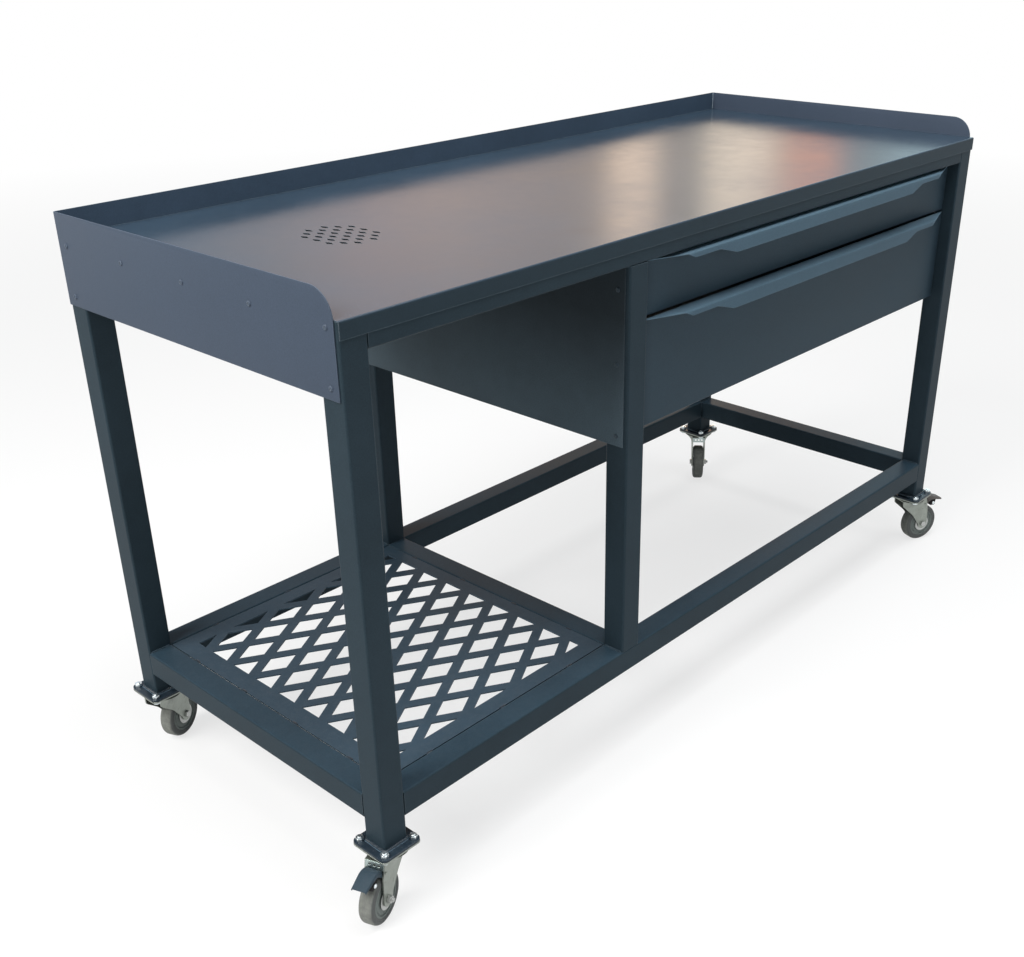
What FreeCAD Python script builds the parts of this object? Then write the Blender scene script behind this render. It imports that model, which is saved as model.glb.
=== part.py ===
"""Steel jeweller's bench on swivel casters, with two drawers and a lattice shelf.

The frame is welded from square tube. A folded worktop sheet with an upstand lies on it,
sheet panels close its ends, and two drawers run on telescopic slides in the wide bay.
Units are millimetres, +X runs to the right, +Y to the back and +Z up.
The floor is z = 0, and the origin is the middle of the bench's footprint.
"""
import FreeCAD, Part
import Sketcher
import math
import os

VECTOR = FreeCAD.Vector
UP = VECTOR(0, 0, 1)
TOLERANCE = 0.01
# Radius of the rough outline that a sketch starts from, before its dimensions apply.
ROUGH_RADIUS = 100

# Driving dimensions: alias, value, meaning.
DIMENSIONS = [
    ("shift_x", 0.6, "frame centre, right of the middle of the footprint"),
    ("shift_y", 3.3, "frame centre, behind the middle of the footprint"),
    ("bench_length", 1900, "frame, left to right"),
    ("bench_depth", 750, "frame, front to back"),
    ("top_height", 1061, "working surface above the floor"),
    ("tube", 50, "side of the square tube"),
    ("tube_wall", 2, "wall of the square tube"),
    ("tube_corner", 4, "outer corner radius of the tube"),
    ("rail_underside", 189, "underside of the bottom rails"),
    ("middle_leg_x", -300, "centre of the two middle legs"),
    ("cross_rail_rise", 30, "height of the flat tube beside the shelf"),
    ("steel_sheet", 2, "thickness of the worktop and the panels"),
    ("front_lip", 27.5, "fold over the front of the frame"),
    ("upstand", 42, "upstand above the working surface"),
    ("bend_radius", 3, "outside radius of the folds"),
    ("panel_underside", 942, "lower edge of the end panels"),
    ("panel_setback", 8, "end panels behind the front of the frame"),
    ("panel_corner", 46, "round at the front top corner of an end panel"),
    ("screw_row_drop", 13, "upper screw row below the working surface"),
    ("low_screw_drop", 101, "lower screws below the working surface"),
    ("screw_head", 4.6, "radius of a pan head"),
    ("partition_underside", 675, "lower edge of the partition"),
    ("partition_setback", 9, "partition behind the front of the frame"),
    ("partition_gap", 1, "between the partition and the top rails"),
    ("partition_screw_low", 19, "lowest partition screw above its edge"),
    ("partition_screw_pitch", 136, "between the partition screws"),
    ("vent_x", -632, "centre of the vent cluster from the frame centre"),
    ("vent_y", 10, "centre of the vent cluster from the frame centre"),
    ("vent_step_x", 17, "between vent columns"),
    ("vent_step_y", 32.8, "between the vents of one column"),
    ("vent_width", 10.5, "width of a vent"),
    ("vent_length", 24, "length of a vent"),
    ("shelf_sheet", 3, "thickness of the shelf"),
    ("shelf_gap", 1.2, "gap between the shelf and the rails"),
    ("shelf_drop", 1, "shelf below the top of the rails"),
    ("lattice_x", 4, "lattice centre, right of the shelf's centre"),
    ("lattice_step_x", 63, "half the width of a lattice cell"),
    ("lattice_step_y", 36.1, "half the depth of a lattice cell"),
    ("diamond_width", 87, "width of a cut-out"),
    ("diamond_depth", 50.5, "depth of a cut-out"),
    ("tack_radius", 2.6, "radius of a tack weld"),
    ("tack_length", 16, "length of a tack weld"),
    ("foot_plate", 86, "side of the plates at a caster"),
    ("foot_plate_corner", 10, "corner radius of the plates"),
    ("adapter_sheet", 5, "plate welded to the leg"),
    ("caster_sheet", 3, "plate of the caster"),
    ("bolt_step", 64, "between the bolts of a caster"),
    ("bolt_radius", 4, "M8 bolt"),
    ("bolt_flats", 13, "across the flats of an M8 nut"),
    ("bolt_hole", 4.2, "radius of a bolt hole"),
    ("bolt_head", 5.3, "depth of an M8 head"),
    ("nut_depth", 6.5, "depth of an M8 nut"),
    ("bolt_end", 8.5, "bolt end above the adapter plate"),
    ("foot_weld", 4, "weld bead round the foot of a leg"),
    ("foot_weld_corner", 7, "corner cut off that bead"),
    ("caster_height", 137, "caster from the floor to its plate"),
    ("wheel_radius", 49, "radius of the tyre"),
    ("wheel_width", 29, "width of the tyre"),
    ("trail", 40, "axle behind the swivel axis"),
    ("race_radius", 33, "swivel race"),
    ("race_depth", 7, "swivel race under the caster's plate"),
    ("race_gap", 0.4, "between the two halves of the race"),
    ("race_step", 2, "lower half of the race inside the upper one"),
    ("crown_radius", 38, "round crown of the fork"),
    ("kingpin_radius", 6, "kingpin of the swivel"),
    ("kingpin_head", 10, "head of the kingpin"),
    ("running_gap", 0.06, "radial clearance of a pin in its bore"),
    ("fork_sheet", 2.5, "wall of the fork"),
    ("fork_inside", 33, "between the legs of the fork"),
    ("fork_top", 125, "top of the fork's legs"),
    ("fork_front", -34, "leading edge of the fork at its top"),
    ("fork_shoulder", 8, "upright part of the leading edge"),
    ("fork_bend_x", 0, "bend of the leading edge, from the swivel axis"),
    ("fork_bend_rise", 32, "bend of the leading edge, above the axle"),
    ("fork_bend_radius", 40, "round of that bend"),
    ("fork_top_back", 43, "trailing edge of the fork at its top"),
    ("fork_bridge", 12, "height of the bridge between the legs at the back"),
    ("fork_end", 14, "round end of the fork at the axle"),
    ("axle_radius", 4, "axle bolt"),
    ("axle_end", 11, "end of the axle bolt past the fork"),
    ("guard_radius", 21, "thread guard"),
    ("guard_sheet", 1, "thickness of a thread guard"),
    ("hub_radius", 36, "rim of the hub, inside the tyre"),
    ("hub_rim", 4, "thickness of the hub's rim"),
    ("hub_web", 6, "thickness of the hub's web"),
    ("hub_draft", 2, "slope of the rim and 1 of the boss towards the web"),
    ("boss_radius", 11, "boss of the hub"),
    ("boss_length", 30.6, "length of the boss"),
    ("tyre_seat", 2, "height of the sloped seat beside the rim"),
    ("tyre_shoulder", 6, "width and height of the sloped shoulder"),
    ("tyre_edge", 2, "how far the shoulder is blunted"),
    ("pedal_pivot_x", 42, "pedal pivot behind the swivel axis"),
    ("pedal_pivot_z", 107, "pedal pivot above the floor"),
    ("pedal_pin", 2.5, "radius of the pedal's pin"),
    ("pedal_pin_end", 2, "end of the pin past the fork"),
    ("pedal_width", 28, "width of the pedal"),
    ("pedal_sheet", 2.5, "sheet of the pedal"),
    ("shoe_x", 28, "brake shoe's bolt behind the pedal pivot"),
    ("shoe_drop", 5, "brake shoe's bolt below the pedal pivot"),
    ("shoe_radius", 4, "brake shoe's bolt"),
    ("swivel_front_left", 200, "direction of the trail, degrees from +X"),
    ("swivel_front_right", 337, "direction of the trail, degrees from +X"),
    ("swivel_rear_left", 23, "direction of the trail, degrees from +X"),
    ("swivel_rear_right", 219, "direction of the trail, degrees from +X"),
    ("drawer_sheet", 1.5, "sheet of the drawers"),
    ("drawer_side_gap", 10, "between a drawer front and the legs"),
    ("front_recess", 25, "drawer fronts behind the front of the frame"),
    ("upper_front_low", 900, "lower edge of the upper front"),
    ("upper_front_high", 1003, "top of the upper front"),
    ("lower_front_low", 688, "lower edge of the lower front"),
    ("lower_front_high", 896, "top of the lower front"),
    ("front_return", 14, "fold at the lower edge of a front"),
    ("front_bend", 2.5, "outside radius of the folds of a front"),
    ("handle_reach", 33, "fold of the handle in front of its drawer"),
    ("handle_lean", 6, "foot of the handle's lip in front of that fold"),
    ("handle_deep", 23.5, "handle lip in its middle"),
    ("handle_shallow", 9.5, "handle lip near its ends"),
    ("handle_middle", 338, "half the length of the deep lip"),
    ("handle_step", 387, "outer end of the sloped step"),
    ("handle_low_end", 464, "lower end of the lip"),
    ("handle_high_end", 482, "upper end of the lip"),
    ("tray_depth", 690, "drawer box, front to back"),
    ("tray_lift", 6, "drawer box above the edge of its front"),
    ("upper_tray_rise", 80, "height of the upper drawer box"),
    ("lower_tray_rise", 198, "height of the lower drawer box"),
    ("slide_depth", 12.7, "slide, from the leg to the drawer"),
    ("slide_length", 700, "length of a slide"),
    ("slide_set", 20, "slide behind the drawer front"),
    ("slide_rise", 45, "height of the outer member"),
    ("slide_sheet", 1.4, "sheet of the slide members"),
    ("slide_nest", 2.4, "each member inside the one around it"),
    ("outer_toe", 9, "reach of the outer member's flanges"),
    ("middle_toe_gap", 2, "between the middle member's flanges and the drawer"),
    ("inner_toe_gap", 3, "between the inner and the middle member"),
    ("upper_slide_z", 951, "middle of the upper slides"),
    ("lower_slide_z", 778, "middle of the lower slides"),
]

doc = FreeCAD.newDocument("jewelers_bench")
sheet = doc.addObject("Spreadsheet::Sheet", "dims")
for row, (alias, value, meaning) in enumerate(DIMENSIONS, start=1):
    sheet.set("A%d" % row, meaning)
    sheet.set("B%d" % row, str(value))
    sheet.setAlias("B%d" % row, alias)
doc.recompute()

sub_parts = []

# Places that several sub-parts share, as expressions on the sheet.
LEG_X = "(dims.bench_length / 2 - dims.tube / 2)"
LEG_Y = "(dims.bench_depth / 2 - dims.tube / 2)"
LEG_FOOT = "(dims.caster_height + dims.adapter_sheet)"
FRAME_TOP = "(dims.top_height - dims.steel_sheet)"
BETWEEN_X = "(dims.bench_length - 2 * dims.tube)"
BETWEEN_Y = "(dims.bench_depth - 2 * dims.tube)"
BAY_LEFT = "(dims.middle_leg_x + dims.tube / 2)"
BAY_RIGHT = "(dims.bench_length / 2 - dims.tube)"
BAY_CENTRE = "((%s + %s) / 2)" % (BAY_LEFT, BAY_RIGHT)
BAY_WIDTH = "(%s - %s)" % (BAY_RIGHT, BAY_LEFT)
FRONT_FACE = "(-dims.bench_depth / 2 + dims.front_recess)"
END_FACE = "(dims.bench_length / 2)"
# How far a cutter passes the face it starts from, and a depth that passes any sub-part.
PAST = "1"
THROUGH = "200"

# Blocks of the vent cluster: columns, first column, column step, rows, first row.
VENT_BLOCKS = [(2, -3, 6, 3, -1), (3, -2, 2, 4, -1.5), (2, -1, 2, 5, -2)]
# Blocks of the shelf's lattice: first column, first row, columns, rows.
LATTICE_BLOCKS = [(-3, -7, 4, 8), (-2, -6, 3, 7)]
# Half the columns and half the rows of the lattice, in half steps.
LATTICE_SIDE = 4
LATTICE_END = 8
# Tack welds along the shelf's ends and along its long seams, as shares of the length.
END_TACKS = (-0.36, -0.12, 0.12, 0.36)
SEAM_TACKS = (-0.32, 0, 0.32)
# Side outline of a brake pedal from its pivot, behind and above.
PEDAL_SIDE = [(-5, -4), (-5, 4.5), (5, 4.5), (10, 10), (16, 16.5), (26, 17.5), (43, 12.5), (59, 4),
              (58, 1), (37, 1), (34, -6), (30, -9), (20, -9), (12, -6)]


# Helpers: places, sketches and features.

def new_body(label):
    """Starts a sub-part that may hold several separate solids."""
    body = doc.addObject("PartDesign::Body", label)
    body.Label = label
    body.AllowCompound = True
    sub_parts.append(body)
    return body


def place(part, across="0", back="0", up="0", turn="0"):
    """Places a sub-part by expressions, measured from the frame's centre on the floor."""
    part.Placement = FreeCAD.Placement(VECTOR(), FreeCAD.Rotation(UP, 1))
    part.setExpression("Placement.Rotation.Angle", turn)
    part.setExpression("Placement.Base.x", "%s + dims.shift_x" % across)
    part.setExpression("Placement.Base.y", "%s + dims.shift_y" % back)
    part.setExpression("Placement.Base.z", up)


def origin_item(body, role):
    """Returns one of the body's own origin planes or axes."""
    for item in body.Origin.OriginFeatures:
        if item.Role == role:
            return item
    raise ValueError("no origin item " + role)


def new_sketch(body, role, offset="0"):
    """Starts a sketch on an origin plane, moved along that plane's normal."""
    sketch = body.newObject("Sketcher::SketchObject", body.Label + "_sketch")
    sketch.AttachmentSupport = [(origin_item(body, role), "")]
    sketch.MapMode = "FlatFace"
    sketch.setExpression("AttachmentOffset.Base.z", offset)
    return sketch


def bind(sketch, constraint, expression):
    """Adds a dimension to a sketch and binds it to the sheet."""
    index = sketch.addConstraint(constraint)
    sketch.setExpression("Constraints[%d]" % index, expression)


def outline(sketch, corners):
    """Draws a closed outline of straight edges, each corner given by two expressions."""
    first = sketch.GeometryCount
    count = len(corners)
    start = []
    for step in range(count):
        angle = 2 * math.pi * step / count
        start.append(VECTOR(ROUGH_RADIUS * math.cos(angle), ROUGH_RADIUS * math.sin(angle), 0))
    for step in range(count):
        sketch.addGeometry(Part.LineSegment(start[step], start[(step + 1) % count]))
    for step in range(count):
        edge = first + step
        before = first + (step - 1) % count
        sketch.addConstraint(Sketcher.Constraint("Coincident", before, 2, edge, 1))
        bind(sketch, Sketcher.Constraint("DistanceX", edge, 1, start[step].x), corners[step][0])
        bind(sketch, Sketcher.Constraint("DistanceY", edge, 1, start[step].y), corners[step][1])


def rectangle(sketch, left, low, right, high):
    """Draws a rectangle between two corners."""
    outline(sketch, [(left, low), (right, low), (right, high), (left, high)])


def centred(size):
    """Returns the two ends of a centred size."""
    return "-(%s) / 2" % size, "(%s) / 2" % size


def circle(sketch, across, up, radius):
    """Draws a circle."""
    edge = sketch.addGeometry(Part.Circle(VECTOR(1, 1, 0), UP, 1))
    bind(sketch, Sketcher.Constraint("DistanceX", edge, 3, 1), across)
    bind(sketch, Sketcher.Constraint("DistanceY", edge, 3, 1), up)
    bind(sketch, Sketcher.Constraint("Radius", edge, 1), radius)


def hexagon(sketch, across, up, flats):
    """Draws a hexagon with two flats level."""
    corners = []
    for step in range(6):
        angle = 60 * step
        reach = "(%s) / sqrt(3)" % flats
        corners.append(("%s + %s * cos(%d)" % (across, reach, angle),
                        "%s + %s * sin(%d)" % (up, reach, angle)))
    outline(sketch, corners)


def diamond(sketch, across, up, width, depth):
    """Draws a rhombus with its corners on the two axes."""
    outline(sketch, [("%s - %s / 2" % (across, width), up),
                     (across, "%s - %s / 2" % (up, depth)),
                     ("%s + %s / 2" % (across, width), up),
                     (across, "%s + %s / 2" % (up, depth))])


def pad(body, sketch, length, symmetric=False, backwards=False):
    """Adds material over a sketch."""
    feature = body.newObject("PartDesign::Pad", body.Label + "_pad")
    feature.Profile = sketch
    feature.setExpression("Length", length)
    feature.SideType = "Symmetric" if symmetric else "One side"
    feature.Reversed = backwards
    doc.recompute()
    return feature


def pocket(body, sketch, depth, symmetric=False, backwards=False):
    """Takes material away under a sketch, and makes sure that it did."""
    volume = body.Shape.Volume
    feature = body.newObject("PartDesign::Pocket", body.Label + "_pocket")
    feature.Profile = sketch
    feature.setExpression("Length", depth)
    feature.SideType = "Symmetric" if symmetric else "One side"
    feature.Reversed = backwards
    doc.recompute()
    if body.Shape.Volume > volume - TOLERANCE:
        raise ValueError(body.Label + ": a pocket cut nothing")
    return feature


def set_rows(pattern, body, axis, count, step, second_axis, second_count, second_step):
    """Lays out a pattern in a row, or in a grid where a second axis is given."""
    pattern.Direction = (origin_item(body, axis), [""])
    pattern.Occurrences = count
    pattern.setExpression("Length", "%d * (%s)" % (count - 1, step))
    if second_axis:
        pattern.Direction2 = (origin_item(body, second_axis), [""])
        pattern.Occurrences2 = second_count
        pattern.setExpression("Length2", "%d * (%s)" % (second_count - 1, second_step))


def repeat(body, originals, axis, count, step, second_axis=None, second_count=1, second_step="1"):
    """Repeats features in a row or a grid."""
    pattern = body.newObject("PartDesign::LinearPattern", body.Label + "_pattern")
    pattern.Originals = originals
    set_rows(pattern, body, axis, count, step, second_axis, second_count, second_step)
    body.Tip = pattern
    doc.recompute()
    return pattern


def mirror(body, originals, role):
    """Mirrors features in an origin plane."""
    feature = body.newObject("PartDesign::Mirrored", body.Label + "_mirror")
    feature.Originals = originals
    feature.MirrorPlane = (origin_item(body, role), [""])
    body.Tip = feature
    doc.recompute()
    return feature


def edges_along(feature, direction, test):
    """Names the straight edges along a direction whose middle passes a test."""
    names = []
    for number, edge in enumerate(feature.Shape.Edges, start=1):
        first = edge.Vertexes[0].Point
        last = edge.Vertexes[-1].Point
        run = last - first
        if run.Length < TOLERANCE or not isinstance(edge.Curve, Part.Line):
            continue
        if abs(abs(run.normalize() * direction) - 1) > TOLERANCE:
            continue
        if test((first + last) * 0.5):
            names.append("Edge%d" % number)
    return names


def round_edges(body, feature, names, radius):
    """Rounds named edges of a feature."""
    fillet = body.newObject("PartDesign::Fillet", body.Label + "_round")
    fillet.Base = (feature, names)
    fillet.setExpression("Radius", radius)
    doc.recompute()
    return fillet


def spin(body, sketch):
    """Turns a sketch once round its own horizontal axis."""
    feature = body.newObject("PartDesign::Revolution", body.Label + "_turned")
    feature.Profile = sketch
    feature.ReferenceAxis = (sketch, ["H_Axis"])
    feature.Angle = 360
    doc.recompute()
    return feature


def value_of(alias):
    """Reads one driving dimension."""
    return float(sheet.get(alias))


# Frame: square tube, welded.

def square_tube(label, role, length, rise="dims.tube"):
    """Makes a hollow tube with round corners, centred, along the normal of an origin plane."""
    body = new_body(label)
    sketch = new_sketch(body, role)
    left, right = centred("dims.tube")
    low, high = centred(rise)
    wall = "dims.tube_wall"
    rectangle(sketch, left, low, right, high)
    rectangle(sketch, "%s + %s" % (left, wall), "%s + %s" % (low, wall),
              "%s - %s" % (right, wall), "%s - %s" % (high, wall))
    blank = pad(body, sketch, length, symmetric=True)
    along = {"XY_Plane": VECTOR(0, 0, 1), "XZ_Plane": VECTOR(0, 1, 0), "YZ_Plane": VECTOR(1, 0, 0)}
    skin = value_of("tube") / 2 - value_of("tube_wall") / 2

    def outer_corner(middle):
        return max(abs(middle.x), abs(middle.y), abs(middle.z)) > skin

    corners = edges_along(blank, along[role], outer_corner)
    rounded = round_edges(body, blank, corners, "dims.tube_corner")

    def inner_corner(middle):
        return not outer_corner(middle)

    corners = edges_along(rounded, along[role], inner_corner)
    round_edges(body, rounded, corners, "dims.tube_corner - dims.tube_wall")
    return body


def make_legs():
    """Four corner legs stand on the casters, two middle legs between the rails."""
    corner_length = "%s - %s" % (FRAME_TOP, LEG_FOOT)
    corner_middle = "(%s + %s) / 2" % (FRAME_TOP, LEG_FOOT)
    rail_top = "(dims.rail_underside + dims.tube)"
    under_top_rail = "(%s - dims.tube)" % FRAME_TOP
    middle_length = "%s - %s" % (under_top_rail, rail_top)
    middle_middle = "(%s + %s) / 2" % (under_top_rail, rail_top)
    for depth_name, back in (("front", "-" + LEG_Y), ("rear", LEG_Y)):
        for side_name, across in (("left", "-" + LEG_X), ("right", LEG_X)):
            leg = square_tube("leg_%s_%s" % (depth_name, side_name), "XY_Plane", corner_length)
            place(leg, across, back, corner_middle)
        leg = square_tube("leg_%s_middle" % depth_name, "XY_Plane", middle_length)
        place(leg, "dims.middle_leg_x", back, middle_middle)


def make_rails():
    """Bottom and top rails butt against the legs, with a cross rail at the middle legs."""
    levels = (("bottom", "dims.rail_underside + dims.tube / 2"),
              ("top", "%s - dims.tube / 2" % FRAME_TOP))
    for level_name, level in levels:
        for depth_name, back in (("front", "-" + LEG_Y), ("rear", LEG_Y)):
            rail = square_tube("rail_%s_%s" % (level_name, depth_name), "YZ_Plane", BETWEEN_X)
            place(rail, "0", back, level)
        for side_name, across in (("left", "-" + LEG_X), ("right", LEG_X)):
            rail = square_tube("rail_%s_%s" % (level_name, side_name), "XZ_Plane", BETWEEN_Y)
            place(rail, across, "0", level)
    rail = square_tube("rail_bottom_cross", "XZ_Plane", BETWEEN_Y, "dims.cross_rail_rise")
    place(rail, "dims.middle_leg_x", "0",
          "dims.rail_underside + dims.tube - dims.cross_rail_rise / 2")
    rail = square_tube("rail_top_cross", "XZ_Plane", BETWEEN_Y)
    place(rail, "dims.middle_leg_x", "0", "%s - dims.tube / 2" % FRAME_TOP)


# Sheet metal on the frame.

def vents(body, columns, first_column, column_step, rows, first_row):
    """Cuts one block of the vent cluster, with every column of the same length."""
    across = "dims.vent_x + (%s) * dims.vent_step_x" % first_column
    back = "dims.vent_y + (%s) * dims.vent_step_y" % first_row
    sketch = new_sketch(body, "XY_Plane")
    diamond(sketch, across, back, "dims.vent_width", "dims.vent_length")
    cut = pocket(body, sketch, "dims.steel_sheet + " + PAST)
    repeat(body, [cut], "Y_Axis", rows, "dims.vent_step_y",
           "X_Axis", columns, "%s * dims.vent_step_x" % column_step)


def make_worktop():
    """One folded sheet: lip over the front rail, working surface, upstand at the back."""
    body = new_body("worktop")
    half = "dims.bench_depth / 2"
    skin = "dims.steel_sheet"
    section = [("-%s - %s" % (half, skin), "-dims.front_lip"),
               ("-%s" % half, "-dims.front_lip"),
               ("-%s" % half, "-%s" % skin),
               (half, "-%s" % skin),
               (half, "dims.upstand"),
               ("%s - %s" % (half, skin), "dims.upstand"),
               ("%s - %s" % (half, skin), "0"),
               ("-%s - %s" % (half, skin), "0")]
    sketch = new_sketch(body, "YZ_Plane")
    outline(sketch, section)
    blank = pad(body, sketch, "dims.bench_length", symmetric=True)
    back_face = value_of("bench_depth") / 2
    front_face = -back_face - value_of("steel_sheet")
    under = -value_of("steel_sheet")

    def outside_fold(middle):
        at_front = abs(middle.y - front_face) < 0.1 and abs(middle.z) < 0.1
        at_back = abs(middle.y - back_face) < 0.1 and abs(middle.z - under) < 0.1
        return at_front or at_back

    round_edges(body, blank, edges_along(blank, VECTOR(1, 0, 0), outside_fold), "dims.bend_radius")
    for block in VENT_BLOCKS:
        vents(body, *block)
    place(body, up="dims.top_height")


def make_end_panel(label, across):
    """A flat sheet on the end of the frame, round at its front top corner."""
    body = new_body(label)
    front = "-dims.bench_depth / 2 + dims.panel_setback"
    sketch = new_sketch(body, "YZ_Plane")
    rectangle(sketch, front, "dims.panel_underside", "dims.bench_depth / 2",
              "dims.top_height + dims.upstand")
    blank = pad(body, sketch, "dims.steel_sheet", symmetric=True)
    middle_height = value_of("top_height")

    def front_top(middle):
        return middle.y < 0 and middle.z > middle_height

    corner = edges_along(blank, VECTOR(1, 0, 0), front_top)
    round_edges(body, blank, corner, "dims.panel_corner")
    holes = new_sketch(body, "YZ_Plane")
    for back, up in end_screw_places():
        circle(holes, back, up, "dims.screw_head / 2")
    pocket(body, holes, "dims.steel_sheet + " + PAST, symmetric=True)
    place(body, across)


def end_screw_places():
    """Places of the screws of an end panel: a row of five, and one low on each leg."""
    places = []
    for step in range(-2, 3):
        places.append(("%s * %d / 2" % (LEG_Y, step), "dims.top_height - dims.screw_row_drop"))
    for side in (-1, 1):
        places.append(("%s * %d" % (LEG_Y, side), "dims.top_height - dims.low_screw_drop"))
    return places


def partition_screw_places():
    """Places of the screws of the partition: three on each middle leg."""
    places = []
    for side in (-1, 1):
        for step in range(3):
            places.append(("%s * %d" % (LEG_Y, side),
                           "dims.partition_underside + dims.partition_screw_low"
                           " + %d * dims.partition_screw_pitch" % step))
    return places


def make_partition():
    """A flat sheet on the middle legs, between the knee space and the drawers."""
    body = new_body("partition_panel")
    sketch = new_sketch(body, "YZ_Plane")
    reach = "dims.bench_depth / 2 - dims.partition_setback"
    rectangle(sketch, "-(%s)" % reach, "dims.partition_underside", reach,
              "%s - dims.tube - dims.partition_gap" % FRAME_TOP)
    pad(body, sketch, "dims.steel_sheet", symmetric=True)
    holes = new_sketch(body, "YZ_Plane")
    for back, up in partition_screw_places():
        circle(holes, back, up, "dims.screw_head / 2")
    pocket(body, holes, "dims.steel_sheet + " + PAST, symmetric=True)
    place(body, "dims.middle_leg_x - dims.tube / 2 - dims.steel_sheet / 2")


def make_screws(label, places, face, outwards):
    """Pan-head screws whose heads lie on a sheet and whose shanks fill its holes."""
    body = new_body(label)
    shanks = new_sketch(body, "YZ_Plane")
    for back, up in places:
        circle(shanks, back, up, "dims.screw_head / 2")
    pad(body, shanks, "dims.steel_sheet", backwards=outwards > 0)
    heads = new_sketch(body, "YZ_Plane")
    for back, up in places:
        circle(heads, back, up, "dims.screw_head")
    pad(body, heads, "dims.screw_head / 2", backwards=outwards < 0)
    place(body, face)


def make_shelf():
    """A sheet cut to a diamond lattice, with half diamonds along its edges."""
    body = new_body("shelf_plate")
    left = "(-dims.bench_length / 2 + dims.tube)"
    right = "(dims.middle_leg_x - dims.tube / 2)"
    sketch = new_sketch(body, "XY_Plane")
    low, high = centred("%s - %s - 2 * dims.shelf_gap" % (right, left))
    near, far = centred("%s - 2 * dims.shelf_gap" % BETWEEN_Y)
    rectangle(sketch, "%s - dims.lattice_x" % low, near, "%s - dims.lattice_x" % high, far)
    pad(body, sketch, "dims.shelf_sheet")
    for first_column, first_row, columns, rows in LATTICE_BLOCKS:
        cell = new_sketch(body, "XY_Plane")
        diamond(cell, "%d * dims.lattice_step_x" % first_column,
                "%d * dims.lattice_step_y" % first_row, "dims.diamond_width", "dims.diamond_depth")
        cut = pocket(body, cell, "dims.shelf_sheet + " + PAST, backwards=True)
        repeat(body, [cut], "X_Axis", columns, "2 * dims.lattice_step_x",
               "Y_Axis", rows, "2 * dims.lattice_step_y")
    half_cells(body)
    place(body, "(%s + %s) / 2 + dims.lattice_x" % (left, right), "0",
          "dims.rail_underside + dims.tube - dims.shelf_drop - dims.shelf_sheet")


def half_cells(body):
    """Cuts the half diamonds along the lattice's sides and the quarters in its corners."""
    side = "%d * dims.lattice_step_x" % LATTICE_SIDE
    end = "%d * dims.lattice_step_y" % LATTICE_END
    wide = "dims.diamond_width / 2"
    deep = "dims.diamond_depth / 2"
    depth = "dims.shelf_sheet + " + PAST
    for way in (-1, 1):
        sketch = new_sketch(body, "XY_Plane")
        start = "(2 * dims.lattice_step_y - %s)" % end
        outline(sketch, [("%d * (%s)" % (way, side), "%s - %s" % (start, deep)),
                         ("%d * (%s)" % (way, side), "%s + %s" % (start, deep)),
                         ("%d * (%s - %s)" % (way, side, wide), start)])
        cut = pocket(body, sketch, depth, backwards=True)
        repeat(body, [cut], "Y_Axis", LATTICE_END - 1, "2 * dims.lattice_step_y")
        sketch = new_sketch(body, "XY_Plane")
        start = "(2 * dims.lattice_step_x - %s)" % side
        outline(sketch, [("%s - %s" % (start, wide), "%d * (%s)" % (way, end)),
                         ("%s + %s" % (start, wide), "%d * (%s)" % (way, end)),
                         (start, "%d * (%s - %s)" % (way, end, deep))])
        cut = pocket(body, sketch, depth, backwards=True)
        repeat(body, [cut], "X_Axis", LATTICE_SIDE - 1, "2 * dims.lattice_step_x")
    sketch = new_sketch(body, "XY_Plane")
    for way in (-1, 1):
        for turn in (-1, 1):
            corner = ("%d * (%s)" % (way, side), "%d * (%s)" % (turn, end))
            outline(sketch, [corner,
                             ("%d * (%s - %s)" % (way, side, wide), corner[1]),
                             (corner[0], "%d * (%s - %s)" % (turn, end, deep))])
    pocket(body, sketch, depth, backwards=True)


# Casters.

def make_foot_plates():
    """Adapter plates welded under the legs, and the casters' own plates with kingpins."""
    adapter = new_body("caster_adapter_plates")
    sketch = new_sketch(adapter, "XY_Plane")
    corner_plate(adapter, sketch)
    blank = pad(adapter, sketch, "dims.adapter_sheet")
    at_corners(adapter, [blank])
    place(adapter, up="dims.caster_height")

    plates = new_body("caster_top_plates")
    sketch = new_sketch(plates, "XY_Plane")
    corner_plate(plates, sketch)
    blank = pad(plates, sketch, "dims.caster_sheet", backwards=True)
    race = new_sketch(plates, "XY_Plane", "-dims.caster_sheet")
    circle(race, "-" + LEG_X, "-" + LEG_Y, "dims.race_radius")
    race_pad = pad(plates, race, "dims.race_depth", backwards=True)
    pin = new_sketch(plates, "XY_Plane", "-dims.caster_sheet - dims.race_depth")
    circle(pin, "-" + LEG_X, "-" + LEG_Y, "dims.kingpin_radius")
    pin_length = "(dims.caster_height - dims.caster_sheet - dims.race_depth - dims.fork_top" \
                 " + dims.fork_sheet + dims.race_gap)"
    pin_pad = pad(plates, pin, pin_length, backwards=True)
    head = new_sketch(plates, "XY_Plane",
                      "-dims.caster_sheet - dims.race_depth - %s" % pin_length)
    circle(head, "-" + LEG_X, "-" + LEG_Y, "dims.kingpin_head")
    head_pad = pad(plates, head, "dims.fork_sheet", backwards=True)
    at_corners(plates, [blank, race_pad, pin_pad, head_pad])
    place(plates, up="dims.caster_height")


def corner_plate(body, sketch):
    """Draws the front left plate's outline with its four bolt holes."""
    cut_square(sketch, "dims.foot_plate / 2", "dims.foot_plate_corner")
    for way in (-1, 1):
        for turn in (-1, 1):
            circle(sketch, "-%s + %d * dims.bolt_step / 2" % (LEG_X, way),
                   "-%s + %d * dims.bolt_step / 2" % (LEG_Y, turn), "dims.bolt_hole")


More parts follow.
